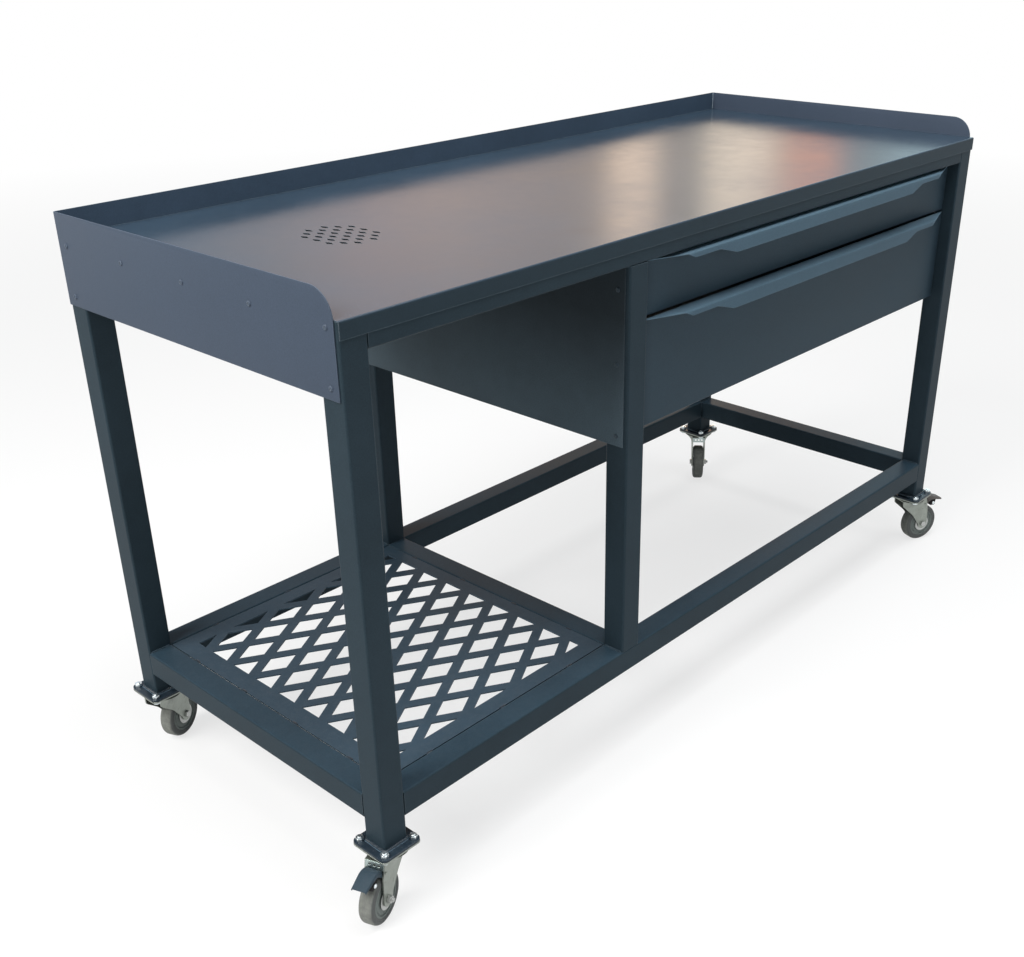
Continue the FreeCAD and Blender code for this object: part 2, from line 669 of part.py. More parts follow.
def cut_square(sketch, half, cut):
    """Draws a square round the front left leg with its corners cut off."""
    reach = "(%s - %s)" % (half, cut)
    corners = []
    for way, turn in ((1, 1), (-1, 1), (-1, -1), (1, -1)):
        edge = ("-%s + %d * (%s)" % (LEG_X, way, half), "-%s + %d * %s" % (LEG_Y, turn, reach))
        side = ("-%s + %d * %s" % (LEG_X, way, reach), "-%s + %d * (%s)" % (LEG_Y, turn, half))
        corners.extend([edge, side] if way == turn else [side, edge])
    outline(sketch, corners)


def at_corners(body, features):
    """Repeats the front left corner's features at all four corner legs."""
    repeat(body, features, "X_Axis", 2, "2 * " + LEG_X, "Y_Axis", 2, "2 * " + LEG_Y)


def make_foot_welds():
    """A weld bead round the foot of each corner leg."""
    body = new_body("foot_weld_beads")
    sketch = new_sketch(body, "XY_Plane")
    cut_square(sketch, "dims.tube / 2 + dims.foot_weld", "dims.foot_weld_corner")
    half = "dims.tube / 2"
    rectangle(sketch, "-%s - %s" % (LEG_X, half), "-%s - %s" % (LEG_Y, half),
              "-%s + %s" % (LEG_X, half), "-%s + %s" % (LEG_Y, half))
    bead = pad(body, sketch, "dims.foot_weld")
    at_corners(body, [bead])
    place(body, up=LEG_FOOT)


def make_caster_bolts():
    """Sixteen M8 bolts with hexagon heads below and nuts above the two plates."""
    body = new_body("caster_bolts")
    across = "-%s - dims.bolt_step / 2" % LEG_X
    back = "-%s - dims.bolt_step / 2" % LEG_Y
    features = []
    shank = "dims.caster_sheet + dims.adapter_sheet + dims.bolt_end"
    levels = (("-dims.caster_sheet", "dims.bolt_head", True, None),
              ("-dims.caster_sheet", shank, False, "dims.bolt_radius"),
              ("dims.adapter_sheet", "dims.nut_depth", False, None))
    for level, length, backwards, radius in levels:
        sketch = new_sketch(body, "XY_Plane", level)
        if radius:
            circle(sketch, across, back, radius)
        else:
            hexagon(sketch, across, back, "dims.bolt_flats")
        features.append(pad(body, sketch, length, backwards=backwards))
    spread = body.newObject("PartDesign::MultiTransform", "caster_bolts_spread")
    spread.Originals = features
    spread.Transformations = [grid(body, "dims.bolt_step", "dims.bolt_step"),
                              grid(body, "2 * " + LEG_X, "2 * " + LEG_Y)]
    body.Tip = spread
    doc.recompute()
    place(body, up="dims.caster_height")


def grid(body, step_across, step_back):
    """A two by two grid for use inside a multiple transform."""
    pattern = body.newObject("PartDesign::LinearPattern", body.Label + "_grid")
    set_rows(pattern, body, "X_Axis", 2, step_across, "Y_Axis", 2, step_back)
    return pattern


def make_fork(name, leg_x, leg_y, turn):
    """A pressed fork: crown with the lower race, and two legs down to the axle."""
    body = new_body("fork_" + name)
    side = new_sketch(body, "XZ_Plane")
    bend = "dims.wheel_radius + dims.fork_bend_rise"
    outline(side, [("dims.fork_front", "dims.fork_top"),
                   ("dims.fork_front", "dims.fork_top - dims.fork_shoulder"),
                   ("dims.fork_bend_x", bend),
                   ("dims.trail - dims.fork_end", "dims.wheel_radius"),
                   ("dims.trail + dims.fork_end", "dims.wheel_radius"),
                   ("dims.trail + dims.fork_end", bend),
                   ("dims.fork_top_back", "dims.fork_top")])
    outside = "dims.fork_inside + 2 * dims.fork_sheet"
    pad(body, side, outside, symmetric=True)
    end = new_sketch(body, "XZ_Plane")
    circle(end, "dims.trail", "dims.wheel_radius", "dims.fork_end")
    blank = pad(body, end, outside, symmetric=True)
    bend_height = value_of("wheel_radius") + value_of("fork_bend_rise")

    def bend_corner(middle):
        return abs(middle.z - bend_height) < 0.1

    bends = edges_along(blank, VECTOR(0, 1, 0), bend_corner)
    round_edges(body, blank, bends, "dims.fork_bend_radius")
    crown = new_sketch(body, "XY_Plane", "dims.fork_top - dims.fork_sheet")
    circle(crown, "0", "0", "dims.crown_radius")
    pad(body, crown, "dims.fork_sheet")
    race = new_sketch(body, "XY_Plane", "dims.fork_top")
    circle(race, "0", "0", "dims.race_radius - dims.race_step")
    race_top = "dims.caster_height - dims.caster_sheet - dims.race_depth - dims.race_gap"
    pad(body, race, "%s - dims.fork_top" % race_top)
    space = new_sketch(body, "XZ_Plane")
    rectangle(space, "-" + THROUGH, "0", THROUGH, "dims.fork_top - dims.fork_sheet")
    pocket(body, space, "dims.fork_inside", symmetric=True)
    bridge = new_sketch(body, "XZ_Plane")
    rectangle(bridge, "dims.fork_top_back - dims.fork_sheet", "dims.fork_top - dims.fork_bridge",
              "dims.fork_top_back", "dims.fork_top")
    pad(body, bridge, outside, symmetric=True)
    bores = new_sketch(body, "XZ_Plane")
    circle(bores, "dims.trail", "dims.wheel_radius", "dims.axle_radius + dims.running_gap")
    if name.startswith("front"):
        circle(bores, "dims.pedal_pivot_x", "dims.pedal_pivot_z",
               "dims.pedal_pin + dims.running_gap")
    pocket(body, bores, THROUGH, symmetric=True)
    pin_bore = new_sketch(body, "XY_Plane", "dims.caster_height")
    circle(pin_bore, "0", "0", "dims.kingpin_radius + dims.running_gap")
    pocket(body, pin_bore, "dims.caster_height - dims.fork_top + dims.fork_sheet + " + PAST)
    place(body, leg_x, leg_y, "0", turn)


def make_axle(name, across, back, turn):
    """An M8 axle bolt with its nut."""
    body = new_body("axle_" + name)
    outside = "(dims.fork_inside / 2 + dims.fork_sheet)"
    sketch = new_sketch(body, "XZ_Plane", "-%s - dims.axle_end" % outside)
    circle(sketch, "0", "0", "dims.axle_radius")
    pad(body, sketch, "2 * %s + dims.axle_end" % outside)
    for level, backwards, depth in (("-%s" % outside, True, "dims.nut_depth"),
                                    (outside, False, "dims.bolt_head")):
        sketch = new_sketch(body, "XZ_Plane", level)
        hexagon(sketch, "0", "0", "dims.bolt_flats")
        pad(body, sketch, depth, backwards=backwards)
    place(body, across, back, "dims.wheel_radius", turn)


def make_guards(name, across, back, turn):
    """Two thread guards between the fork and the hub."""
    body = new_body("thread_guards_" + name)
    inside = "dims.fork_inside / 2"
    for level, backwards in ((inside, True), ("-" + inside, False)):
        sketch = new_sketch(body, "XZ_Plane", level)
        circle(sketch, "0", "0", "dims.guard_radius")
        circle(sketch, "0", "0", "dims.axle_radius + dims.running_gap")
        pad(body, sketch, "dims.guard_sheet", backwards=backwards)
    place(body, across, back, "dims.wheel_radius", turn)


def make_hub(name, across, back, turn):
    """A moulded hub: boss, thin web and rim, turned about the axle."""
    body = new_body("hub_" + name)
    boss = "dims.boss_length / 2"
    rim = "(dims.wheel_width / 2 - %s)" % PAST
    web = "dims.hub_web / 2"
    rim_inside = "dims.hub_radius - dims.hub_rim"
    half = [("-%s" % boss, "dims.axle_radius + dims.running_gap"),
            ("-%s" % boss, "dims.boss_radius"),
            ("-%s" % web, "dims.boss_radius + dims.hub_draft / 2"),
            ("-%s" % web, "%s - dims.hub_draft" % rim_inside),
            ("-%s" % rim, rim_inside),
            ("-%s" % rim, "dims.hub_radius")]
    turned(body, half)
    place(body, across, back, "dims.wheel_radius", turn)


def make_tyre(name, across, back, turn):
    """A rubber tyre with a flat tread and sloped shoulders."""
    body = new_body("tyre_" + name)
    wide = "dims.wheel_width / 2"
    half = [("-%s + %s" % (wide, PAST), "dims.hub_radius"),
            ("-%s" % wide, "dims.hub_radius + dims.tyre_seat"),
            ("-%s" % wide, "dims.wheel_radius - dims.tyre_shoulder"),
            ("-%s + dims.tyre_edge" % wide, "dims.wheel_radius - dims.tyre_edge"),
            ("-%s + dims.tyre_shoulder" % wide, "dims.wheel_radius")]
    turned(body, half)
    place(body, across, back, "dims.wheel_radius", turn)


def turned(body, half):
    """Turns a section about the axle, given its left half from the inside outwards."""
    section = list(half)
    for along, radius in reversed(half):
        section.append(("-(%s)" % along, radius))
    sketch = new_sketch(body, "YZ_Plane")
    outline(sketch, section)
    spin(body, sketch)


def make_pedal(name, leg_x, leg_y, turn):
    """A pressed brake pedal: hollow below, on a pin through the fork, with a brake shoe."""
    body = new_body("brake_pedal_" + name)
    side = []
    for behind, above in PEDAL_SIDE:
        side.append(("dims.pedal_pivot_x + %s" % behind, "dims.pedal_pivot_z + %s" % above))
    sketch = new_sketch(body, "XZ_Plane")
    outline(sketch, side)
    pad(body, sketch, "dims.pedal_width", symmetric=True)
    hollow = new_sketch(body, "XZ_Plane")
    outline(hollow, [(behind, "%s - dims.pedal_sheet" % above) for behind, above in side])
    pocket(body, hollow, "dims.pedal_width - 2 * dims.pedal_sheet", symmetric=True)
    pin = new_sketch(body, "XZ_Plane")
    circle(pin, "dims.pedal_pivot_x", "dims.pedal_pivot_z", "dims.pedal_pin")
    pad(body, pin, "dims.fork_inside + 2 * dims.fork_sheet + 2 * dims.pedal_pin_end",
        symmetric=True)
    shoe = new_sketch(body, "XZ_Plane")
    circle(shoe, "dims.pedal_pivot_x + dims.shoe_x", "dims.pedal_pivot_z - dims.shoe_drop",
           "dims.shoe_radius")
    pad(body, shoe, "dims.pedal_width + 2 * dims.pedal_pin_end", symmetric=True)
    place(body, leg_x, leg_y, "0", turn)


def make_casters():
    """One swivel caster under each corner leg, the front two with brakes."""
    make_foot_plates()
    make_foot_welds()
    make_caster_bolts()
    for depth_name, leg_y in (("front", "-" + LEG_Y), ("rear", LEG_Y)):
        for side_name, leg_x in (("left", "-" + LEG_X), ("right", LEG_X)):
            name = "%s_%s" % (depth_name, side_name)
            turn = "dims.swivel_" + name
            wheel_x = "%s + dims.trail * cos(%s)" % (leg_x, turn)
            wheel_y = "%s + dims.trail * sin(%s)" % (leg_y, turn)
            make_fork(name, leg_x, leg_y, turn)
            make_axle(name, wheel_x, wheel_y, turn)
            make_guards(name, wheel_x, wheel_y, turn)
            make_hub(name, wheel_x, wheel_y, turn)
            make_tyre(name, wheel_x, wheel_y, turn)
            if depth_name == "front":
                make_pedal(name, leg_x, leg_y, turn)


# Drawers.

def make_drawer_front(label, low, high):
    """A folded front whose top edge turns out and down to make a full-width handle.

    The lip of the handle leans out towards its foot.
    """
    body = new_body(label)
    skin = "dims.drawer_sheet"
    rise = "(%s - %s)" % (high, low)
    reach = "dims.handle_reach"
    foot = "(dims.handle_reach + dims.handle_lean)"
    section = [("0", "0"), ("dims.front_return", "0"), ("dims.front_return", skin),
               (skin, skin), (skin, rise), ("-%s" % reach, rise),
               ("-%s" % foot, "%s - dims.handle_deep" % rise),
               ("-%s + %s" % (foot, skin), "%s - dims.handle_deep" % rise),
               ("-%s + %s" % (reach, skin), "%s - %s" % (rise, skin)),
               ("0", "%s - %s" % (rise, skin))]
    sketch = new_sketch(body, "YZ_Plane")
    outline(sketch, section)
    width = "%s - 2 * dims.drawer_side_gap" % BAY_WIDTH
    blank = pad(body, sketch, width, symmetric=True)
    top = value_of(high.replace("dims.", "")) - value_of(low.replace("dims.", ""))
    back = value_of("drawer_sheet")
    fold = -value_of("handle_reach")

    def outside_fold(middle):
        at_foot = abs(middle.y) < 0.1 and abs(middle.z) < 0.1
        at_top = abs(middle.z - top) < 0.1 and min(abs(middle.y - back), abs(middle.y - fold)) < 0.1
        return at_foot or at_top

    folds = edges_along(blank, VECTOR(1, 0, 0), outside_fold)
    round_edges(body, blank, folds, "dims.front_bend")
    half = "(%s) / 2 + %s" % (width, PAST)
    features = []
    profile = new_sketch(body, "XZ_Plane", "%s / 2" % reach)
    outline(profile, [("dims.handle_middle", "%s - dims.handle_deep" % rise),
                      ("dims.handle_step", "%s - dims.handle_shallow" % rise),
                      ("dims.handle_low_end", "%s - dims.handle_shallow" % rise),
                      ("dims.handle_high_end", "%s - %s" % (rise, skin)),
                      (half, "%s - %s" % (rise, skin)),
                      (half, "%s - dims.handle_deep - %s" % (rise, PAST)),
                      ("dims.handle_middle", "%s - dims.handle_deep - %s" % (rise, PAST))])
    features.append(pocket(body, profile, foot, backwards=True))
    plan = new_sketch(body, "XY_Plane", "%s + %s" % (rise, PAST))
    outline(plan, [("(%s) / 2" % width, "0"), ("dims.handle_high_end", "-%s" % reach),
                   ("dims.handle_high_end", "-%s - %s" % (foot, PAST)),
                   (half, "-%s - %s" % (foot, PAST)),
                   (half, "0")])
    features.append(pocket(body, plan, "dims.handle_deep + 2 * %s" % PAST))
    mirror(body, features, "YZ_Plane")
    place(body, BAY_CENTRE, FRONT_FACE, low)


def make_tray(label, low, rise):
    """An open sheet box behind a drawer front."""
    body = new_body(label)
    sketch = new_sketch(body, "XY_Plane")
    left, right = centred("%s - 2 * dims.slide_depth" % BAY_WIDTH)
    rectangle(sketch, left, "dims.drawer_sheet", right, "dims.drawer_sheet + dims.tray_depth")
    pad(body, sketch, rise)
    inside = new_sketch(body, "XY_Plane", rise)
    skin = "dims.drawer_sheet"
    rectangle(inside, "%s + %s" % (left, skin), "2 * %s" % skin, "%s - %s" % (right, skin),
              "dims.tray_depth")
    pocket(body, inside, "%s - %s" % (rise, skin))
    place(body, BAY_CENTRE, FRONT_FACE, "%s + dims.tray_lift" % low)


def channel(sketch, web, rise, toe, height):
    """Draws a slide member: a web on one side, with two flanges to its toes.

    The web's outer face is at web and the flanges end at toe, both from the bay's side.
    """
    skin = "dims.slide_sheet"
    inside = "%s + %s" % (web, skin) if toe[1] > 0 else "%s - %s" % (web, skin)
    half = "(%s) / 2" % rise
    outline(sketch, [(web, "%s - %s" % (height, half)),
                     (toe[0], "%s - %s" % (height, half)),
                     (toe[0], "%s - %s + %s" % (height, half, skin)),
                     (inside, "%s - %s + %s" % (height, half, skin)),
                     (inside, "%s + %s - %s" % (height, half, skin)),
                     (toe[0], "%s + %s - %s" % (height, half, skin)),
                     (toe[0], "%s + %s" % (height, half)),
                     (web, "%s + %s" % (height, half))])


def make_slide_members(label, levels, web, toe, rise):
    """One member of the slides on both sides of the bay, at each given level."""
    body = new_body(label)
    sketch = new_sketch(body, "XZ_Plane")
    edge = "-(%s) / 2" % BAY_WIDTH
    for level in levels:
        channel(sketch, "%s + %s" % (edge, web), rise, ("%s + %s" % (edge, toe[0]), toe[1]), level)
    blank = pad(body, sketch, "dims.slide_length", backwards=True)
    mirror(body, [blank], "YZ_Plane")
    place(body, BAY_CENTRE, "%s + dims.slide_set" % FRONT_FACE)


def make_drawers():
    """Two drawers, each on a pair of three-member slides."""
    make_drawer_front("drawer_front_upper", "dims.upper_front_low", "dims.upper_front_high")
    make_drawer_front("drawer_front_lower", "dims.lower_front_low", "dims.lower_front_high")
    make_tray("drawer_tray_upper", "dims.upper_front_low", "dims.upper_tray_rise")
    make_tray("drawer_tray_lower", "dims.lower_front_low", "dims.lower_tray_rise")
    levels = ["dims.upper_slide_z", "dims.lower_slide_z"]
    make_slide_members("slide_outer_members", levels, "0", ("dims.outer_toe", 1), "dims.slide_rise")
    for name, level in (("upper", levels[0]), ("lower", levels[1])):
        make_slide_members("slide_middle_members_" + name, [level],
                           "dims.slide_nest", ("dims.slide_depth - dims.middle_toe_gap", 1),
                           "dims.slide_rise - 2 * dims.slide_nest")
        make_slide_members("slide_inner_members_" + name, [level],
                           "dims.slide_depth", ("dims.slide_nest + dims.inner_toe_gap", -1),
                           "dims.slide_rise - 4 * dims.slide_nest")


def tack(label, across, back, length, axis):
    """One tack weld: a short round bead along the seam between the shelf and a rail."""
    bead = doc.addObject("Part::Cylinder", label)
    bead.setExpression("Radius", "dims.tack_radius")
    bead.setExpression("Height", length)
    bead.Placement = FreeCAD.Placement(VECTOR(), FreeCAD.Rotation(UP, axis))
    bead.setExpression("Placement.Base.x", "%s + dims.shift_x" % across)
    bead.setExpression("Placement.Base.y", "%s + dims.shift_y" % back)
    bead.setExpression("Placement.Base.z", "dims.rail_underside + dims.tube - dims.tack_radius")
    return bead


def make_shelf_tacks():
    """Tack welds in the seam round the shelf, trimmed to the rails and the shelf."""
    left = "-dims.bench_length / 2 + dims.tube + dims.shelf_gap / 2"
    right = "dims.middle_leg_x - dims.tube / 2 - dims.shelf_gap / 2"
    end = "dims.bench_depth / 2 - dims.tube - dims.shelf_gap / 2"
    beads = []
    for share in END_TACKS:
        along = "%s * %s - dims.tack_length / 2" % (BETWEEN_Y, share)
        for across in (left, right):
            beads.append(tack("tack", across, along, "dims.tack_length", VECTOR(0, 1, 0)))
    middle = "(%s + %s) / 2" % (left, right)
    for share in SEAM_TACKS:
        along = "%s + %s * (%s - (%s)) - dims.tack_length / 2" % (middle, share, right, left)
        for back in ("-(%s)" % end, end):
            beads.append(tack("tack", along, back, "dims.tack_length", VECTOR(1, 0, 0)))
    rough = doc.addObject("Part::Compound", "rough_tacks")
    rough.Links = beads
    around = doc.addObject("Part::Compound", "around_the_shelf")
    names = ("rail_bottom_left", "rail_bottom_front", "rail_bottom_rear", "rail_bottom_cross",
             "shelf_plate")
    around.Links = [part for part in sub_parts if part.Label in names]
    trimmed = doc.addObject("Part::Cut", "shelf_tack_welds")
    trimmed.Label = "shelf_tack_welds"
    trimmed.Base = rough
    trimmed.Tool = around
    sub_parts.append(trimmed)
    doc.recompute()


def check_and_export():
    """Stops on any failed object, then writes each sub-part to its own file."""
    for item in doc.Objects:
        if "Invalid" in item.State or "Error" in item.State:
            raise ValueError("%s failed: %s" % (item.Label, item.State))
    os.makedirs("parts", exist_ok=True)
    for part in sub_parts:
        shape = part.Shape
        if shape.isNull() or not shape.isValid() or shape.Volume <= 0:
            raise ValueError("%s has no valid shape" % part.Label)
        shape.exportStep("parts/%s.step" % part.Label)
        box = shape.BoundBox
        print("%-30s %2d solids  %.0f mm3  z %.1f to %.1f"
              % (part.Label, len(shape.Solids), shape.Volume, box.ZMin, box.ZMax))


make_legs()
make_rails()
make_worktop()
make_end_panel("end_panel_left", "-%s - dims.steel_sheet / 2" % END_FACE)
make_end_panel("end_panel_right", "%s + dims.steel_sheet / 2" % END_FACE)
make_partition()
make_screws("end_screws_left", end_screw_places(), "-%s - dims.steel_sheet" % END_FACE, -1)
make_screws("end_screws_right", end_screw_places(), "%s + dims.steel_sheet" % END_FACE, 1)
make_screws("partition_screws", partition_screw_places(),
            "dims.middle_leg_x - dims.tube / 2 - dims.steel_sheet", -1)
make_shelf()
make_shelf_tacks()
make_casters()
make_drawers()
doc.recompute()
check_and_export()
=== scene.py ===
"""Steel jeweller's bench: camera, studio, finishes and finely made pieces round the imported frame."""
import math

import bmesh
import bpy
import numpy as np
from mathutils import Matrix, Vector


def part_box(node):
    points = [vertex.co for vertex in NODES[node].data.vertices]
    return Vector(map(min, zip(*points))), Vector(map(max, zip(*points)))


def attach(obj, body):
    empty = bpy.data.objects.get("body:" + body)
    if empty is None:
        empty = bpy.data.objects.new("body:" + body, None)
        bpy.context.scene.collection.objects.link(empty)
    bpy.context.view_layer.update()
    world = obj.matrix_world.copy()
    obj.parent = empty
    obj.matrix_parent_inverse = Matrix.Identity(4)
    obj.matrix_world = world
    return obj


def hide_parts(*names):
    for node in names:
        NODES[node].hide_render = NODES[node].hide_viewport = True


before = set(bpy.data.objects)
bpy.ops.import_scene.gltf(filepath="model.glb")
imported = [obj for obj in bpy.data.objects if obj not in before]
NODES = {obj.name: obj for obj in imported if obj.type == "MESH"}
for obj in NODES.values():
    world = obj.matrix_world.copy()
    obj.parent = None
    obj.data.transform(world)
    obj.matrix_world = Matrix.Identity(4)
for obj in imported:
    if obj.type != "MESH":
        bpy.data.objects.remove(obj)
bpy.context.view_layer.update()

MM = 0.001
CORNERS = ("front_left", "front_right", "rear_left", "rear_right")


def middle(node):
    """Middle of a node's box, in millimetres."""
    low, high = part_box(node)
    return (np.array(low) + np.array(high)) / (2 * MM)


def limits(node):
    """Lowest and highest corner of a node's box, in millimetres."""
    return [np.array(corner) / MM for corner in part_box(node)]


# Sizes in millimetres.

SHEET = 2  # thickness of the worktop and the end panels
FLAT = limits("rail_top_left")[1][2] + SHEET  # level of the working surface
VENTS = (middle("worktop")[0] - 632, limits("worktop")[0][1] + 387)  # middle of the vents
SCREW = 4.6  # radius of a pan head
BOLT = 4  # radius of an M8 bolt
FLATS = 13  # width of its head and nut across flats
BOLT_REACH = 32  # from the middle of a leg to its bolts, along x and along y
TUBE_HALF = 25  # half the width of a leg
PLATE_HALF = 43  # half the width of a caster's plates
TRAIL = 40.0  # from a caster's swivel axis to its axle
AXLE_Z = 49.0  # height of the axle


# Surfaces. A skin is (points, faces), with its points in millimetres.

def net(points, ring_rows=False, ring_columns=False, caps=False):
    """Covers a grid of points with four-sided faces; a ring joins its last line to its first."""
    rows, columns = points.shape[:2]
    down, across = np.meshgrid(np.arange(rows - 1 + ring_rows), np.arange(columns - 1 + ring_columns),
                               indexing="ij")
    next_down = (down + 1) % rows
    next_across = (across + 1) % columns
    faces = np.stack([down * columns + across, next_down * columns + across,
                      next_down * columns + next_across, down * columns + next_across], -1)
    faces = faces.reshape(-1, 4).tolist()
    if caps:
        faces.append(list(range(columns)))
        faces.append(list(range((rows - 1) * columns, rows * columns)))
    return points.reshape(-1, 3), faces


def together(skins):
    """Joins several skins into one."""
    points = []
    faces = []
    start = 0
    for skin_points, skin_faces in skins:
        points.append(skin_points)
        faces.extend([[corner + start for corner in face] for face in skin_faces])
        start += len(skin_points)
    return np.concatenate(points), faces


def placed(skin, origin, along=(1, 0, 0), up=(0, 0, 1)):
    """Places a skin: point = origin + x * along + y * (up cross along) + z * up."""
    along = np.array(along, float)
    along /= np.linalg.norm(along)
    up = np.array(up, float)
    up -= along * (up @ along)
    up /= np.linalg.norm(up)
    turn = np.stack([along, np.cross(up, along), up])
    return skin[0] @ turn + np.array(origin, float), skin[1]


def rounded(corners, radius, steps=4, closed=False):
    """Rounds a line's corners: each gives way to an arc that touches the runs on both its sides."""
    corners = np.asarray(corners, float)
    count = len(corners)
    radii = np.broadcast_to(np.asarray(radius, float), count)
    share = np.linspace(0, 1, steps + 1)[:, None]
    line = []
    for place, corner in enumerate(corners):
        end = not closed and place in (0, count - 1)
        before = corners[place - 1] - corner
        after = corners[(place + 1) % count] - corner
        length_before, length_after = np.linalg.norm(before), np.linalg.norm(after)
        cosine = 1.0 if end else np.clip(before @ after / (length_before * length_after), -1, 1)
        if end or radii[place] == 0 or cosine < -0.9999:
            line.append(corner[None])
            continue
        half = math.acos(cosine) / 2
        reach = min(radii[place] / math.tan(half), 0.49 * min(length_before, length_after))
        before = before / length_before
        after = after / length_after
        hub = corner + (before + after) / np.linalg.norm(before + after) * reach / math.cos(half)
        sweep = math.pi - 2 * half
        start, stop = corner + before * reach - hub, corner + after * reach - hub
        arc = (np.sin((1 - share) * sweep) * start + np.sin(share * sweep) * stop) / math.sin(sweep)
        line.append(hub + arc)
    return np.concatenate(line)


def turned(profile, count=48):
    """Turns a profile about the x axis: point = (along, radius * cos a, radius * sin a)."""
    profile = np.asarray(profile, float)
    angle = np.linspace(0, 2 * np.pi, count, endpoint=False)
    points = np.empty((len(profile), count, 3))
    points[..., 0] = profile[:, :1]
    points[..., 1] = profile[:, 1:] * np.cos(angle)
    points[..., 2] = profile[:, 1:] * np.sin(angle)
    return net(points, ring_columns=True)


def inset_line(line, inset):
    """Moves a closed line, drawn anticlockwise, inwards along its corners' bisectors."""
    before = line - np.roll(line, 1, 0)
    after = np.roll(line, -1, 0) - line
    before /= np.linalg.norm(before, axis=1, keepdims=True)
    after /= np.linalg.norm(after, axis=1, keepdims=True)
    normal_before = np.stack([-before[:, 1], before[:, 0]], 1)
    normal_after = np.stack([-after[:, 1], after[:, 0]], 1)
    share = 1 + (normal_before * normal_after).sum(1, keepdims=True)
    return line + inset * (normal_before + normal_after) / share


def plate(line, low, high, edge):
    """A plate over a closed line: its rim is a stack of the line, drawn in by a round at each face."""
    turn = np.linspace(0, np.pi / 2, 4)
    insets = np.concatenate([edge * (1 - np.sin(turn)), edge * (1 - np.cos(turn))])
    levels = np.concatenate([low + edge * (1 - np.cos(turn)), high - edge * (1 - np.sin(turn))])
    points = np.empty((len(levels), len(line), 3))
    for place, (inset, level) in enumerate(zip(insets, levels)):
        points[place, :, :2] = inset_line(line, inset)
        points[place, :, 2] = level
    return net(points, ring_columns=True, caps=True)


def hexagon_bar(flats, profile):
    """A six-sided bar along z: radius = the smaller of the hexagon's and the profile's."""
    profile = np.asarray(profile, float)
    count = 60
    angle = np.linspace(0, 2 * np.pi, count, endpoint=False)
    side = flats / 2 / np.cos((angle + np.pi / 6) % (np.pi / 3) - np.pi / 6)
    radius = np.minimum(side, profile[:, 1:])
    points = np.empty((len(profile), count, 3))
    points[..., 0] = radius * np.cos(angle)
    points[..., 1] = radius * np.sin(angle)
    points[..., 2] = profile[:, :1]
    return net(points, ring_columns=True)


def upright(skin):
    """Stands a skin that was turned about x up along z."""
    return placed(skin, (0, 0, 0), (0, 0, 1), (1, 0, 0))


def run_length(line):
    """The length run along a line up to each of its points."""
    steps = np.linalg.norm(np.diff(line, axis=0), axis=1)
    return np.concatenate([[0], np.cumsum(steps)])


# Objects.

def new_object(name, data):
    """Adds an object to the scene."""
    made = bpy.data.objects.new(name, data)
    bpy.context.scene.collection.objects.link(made)
    return made


def mark(mesh, label, numbers):
    """Stores a number at each point of a mesh."""
    mesh.attributes.new(label, "FLOAT", "POINT").data.foreach_set("value", numbers)


def piece(name, skins, body, slot, replaced=(), finish=None, sharp=38, thick=0, edge=0, values=None):
    """Makes one object of the skins, with merged seams and outward faces, that rides on a body. Its
    finish has the slot's name, unless another is named."""
    points, faces = together(skins)
    mesh = bpy.data.meshes.new(name)
    mesh.from_pydata((points * MM).tolist(), [], faces)
    for label, numbers in (values or {}).items():
        mark(mesh, label, numbers)
    work = bmesh.new()
    work.from_mesh(mesh)
    bmesh.ops.remove_doubles(work, verts=work.verts, dist=2e-6)
    bmesh.ops.dissolve_degenerate(work, edges=work.edges, dist=1e-6)
    bmesh.ops.recalc_face_normals(work, faces=work.faces)
    work.to_mesh(mesh)
    work.free()
    mesh.polygons.foreach_set("use_smooth", [True] * len(mesh.polygons))
    mesh.set_sharp_from_angle(angle=math.radians(sharp))
    mesh.materials.append(FINISH[finish or slot])
    made = new_object(name, mesh)
    if thick:
        wall = made.modifiers.new("wall", "SOLIDIFY")
        wall.thickness = thick * MM
        wall.offset = 0
        wall.use_even_offset = True
    if edge:
        bevel = made.modifiers.new("edge", "BEVEL")
        bevel.width = edge * MM
        bevel.segments = 2
        bevel.limit_method = "ANGLE"
        bevel.angle_limit = math.radians(50)
        bevel.harden_normals = True
    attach(made, body)
    if replaced:
        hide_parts(*replaced)


# Finishes.

FINISH = {}


def node(tree, kind, values=None, **settings):
    """Adds a shader node; a value that is a socket is linked to the input, any other is set on it."""
    made = tree.nodes.new(kind)
    for key, value in settings.items():
        setattr(made, key, value)
    for key, value in (values or {}).items():
        if isinstance(value, bpy.types.NodeSocket):
            tree.links.new(value, made.inputs[key])
        else:
            made.inputs[key].default_value = value
    return made


def sums(tree, operation, *values, clamp=False):
    """One step of arithmetic."""
    made = node(tree, "ShaderNodeMath", dict(enumerate(values)), operation=operation, use_clamp=clamp)
    return made.outputs[0]


def times(tree, product, *others):
    """The product of several values."""
    for value in others:
        product = sums(tree, "MULTIPLY", product, value)
    return product


def blended(tree, share, first, second):
    """Blends two colours."""
    return node(tree, "ShaderNodeMix", {0: share, 6: first, 7: second}, data_type="RGBA").outputs[2]


def toned(tree, colour, tone):
    """A colour times a tone."""
    made = node(tree, "ShaderNodeVectorMath", {0: colour, "Scale": tone}, operation="SCALE")
    return made.outputs["Vector"]


def noise(tree, place, scale, detail=3.0, roughness=0.55):
    """A noise value over a place."""
    made = node(tree, "ShaderNodeTexNoise", {"Vector": place, "Scale": scale, "Detail": detail,
                                             "Roughness": roughness})
    return made.outputs["Fac"]


def stretched(tree, value, low, high, to_low=0.0, to_high=1.0):
    """Stretches a value from one range to another, and keeps it inside."""
    made = node(tree, "ShaderNodeMapRange", {"Value": value, "From Min": low, "From Max": high,
                                             "To Min": to_low, "To Max": to_high})
    return made.outputs[0]


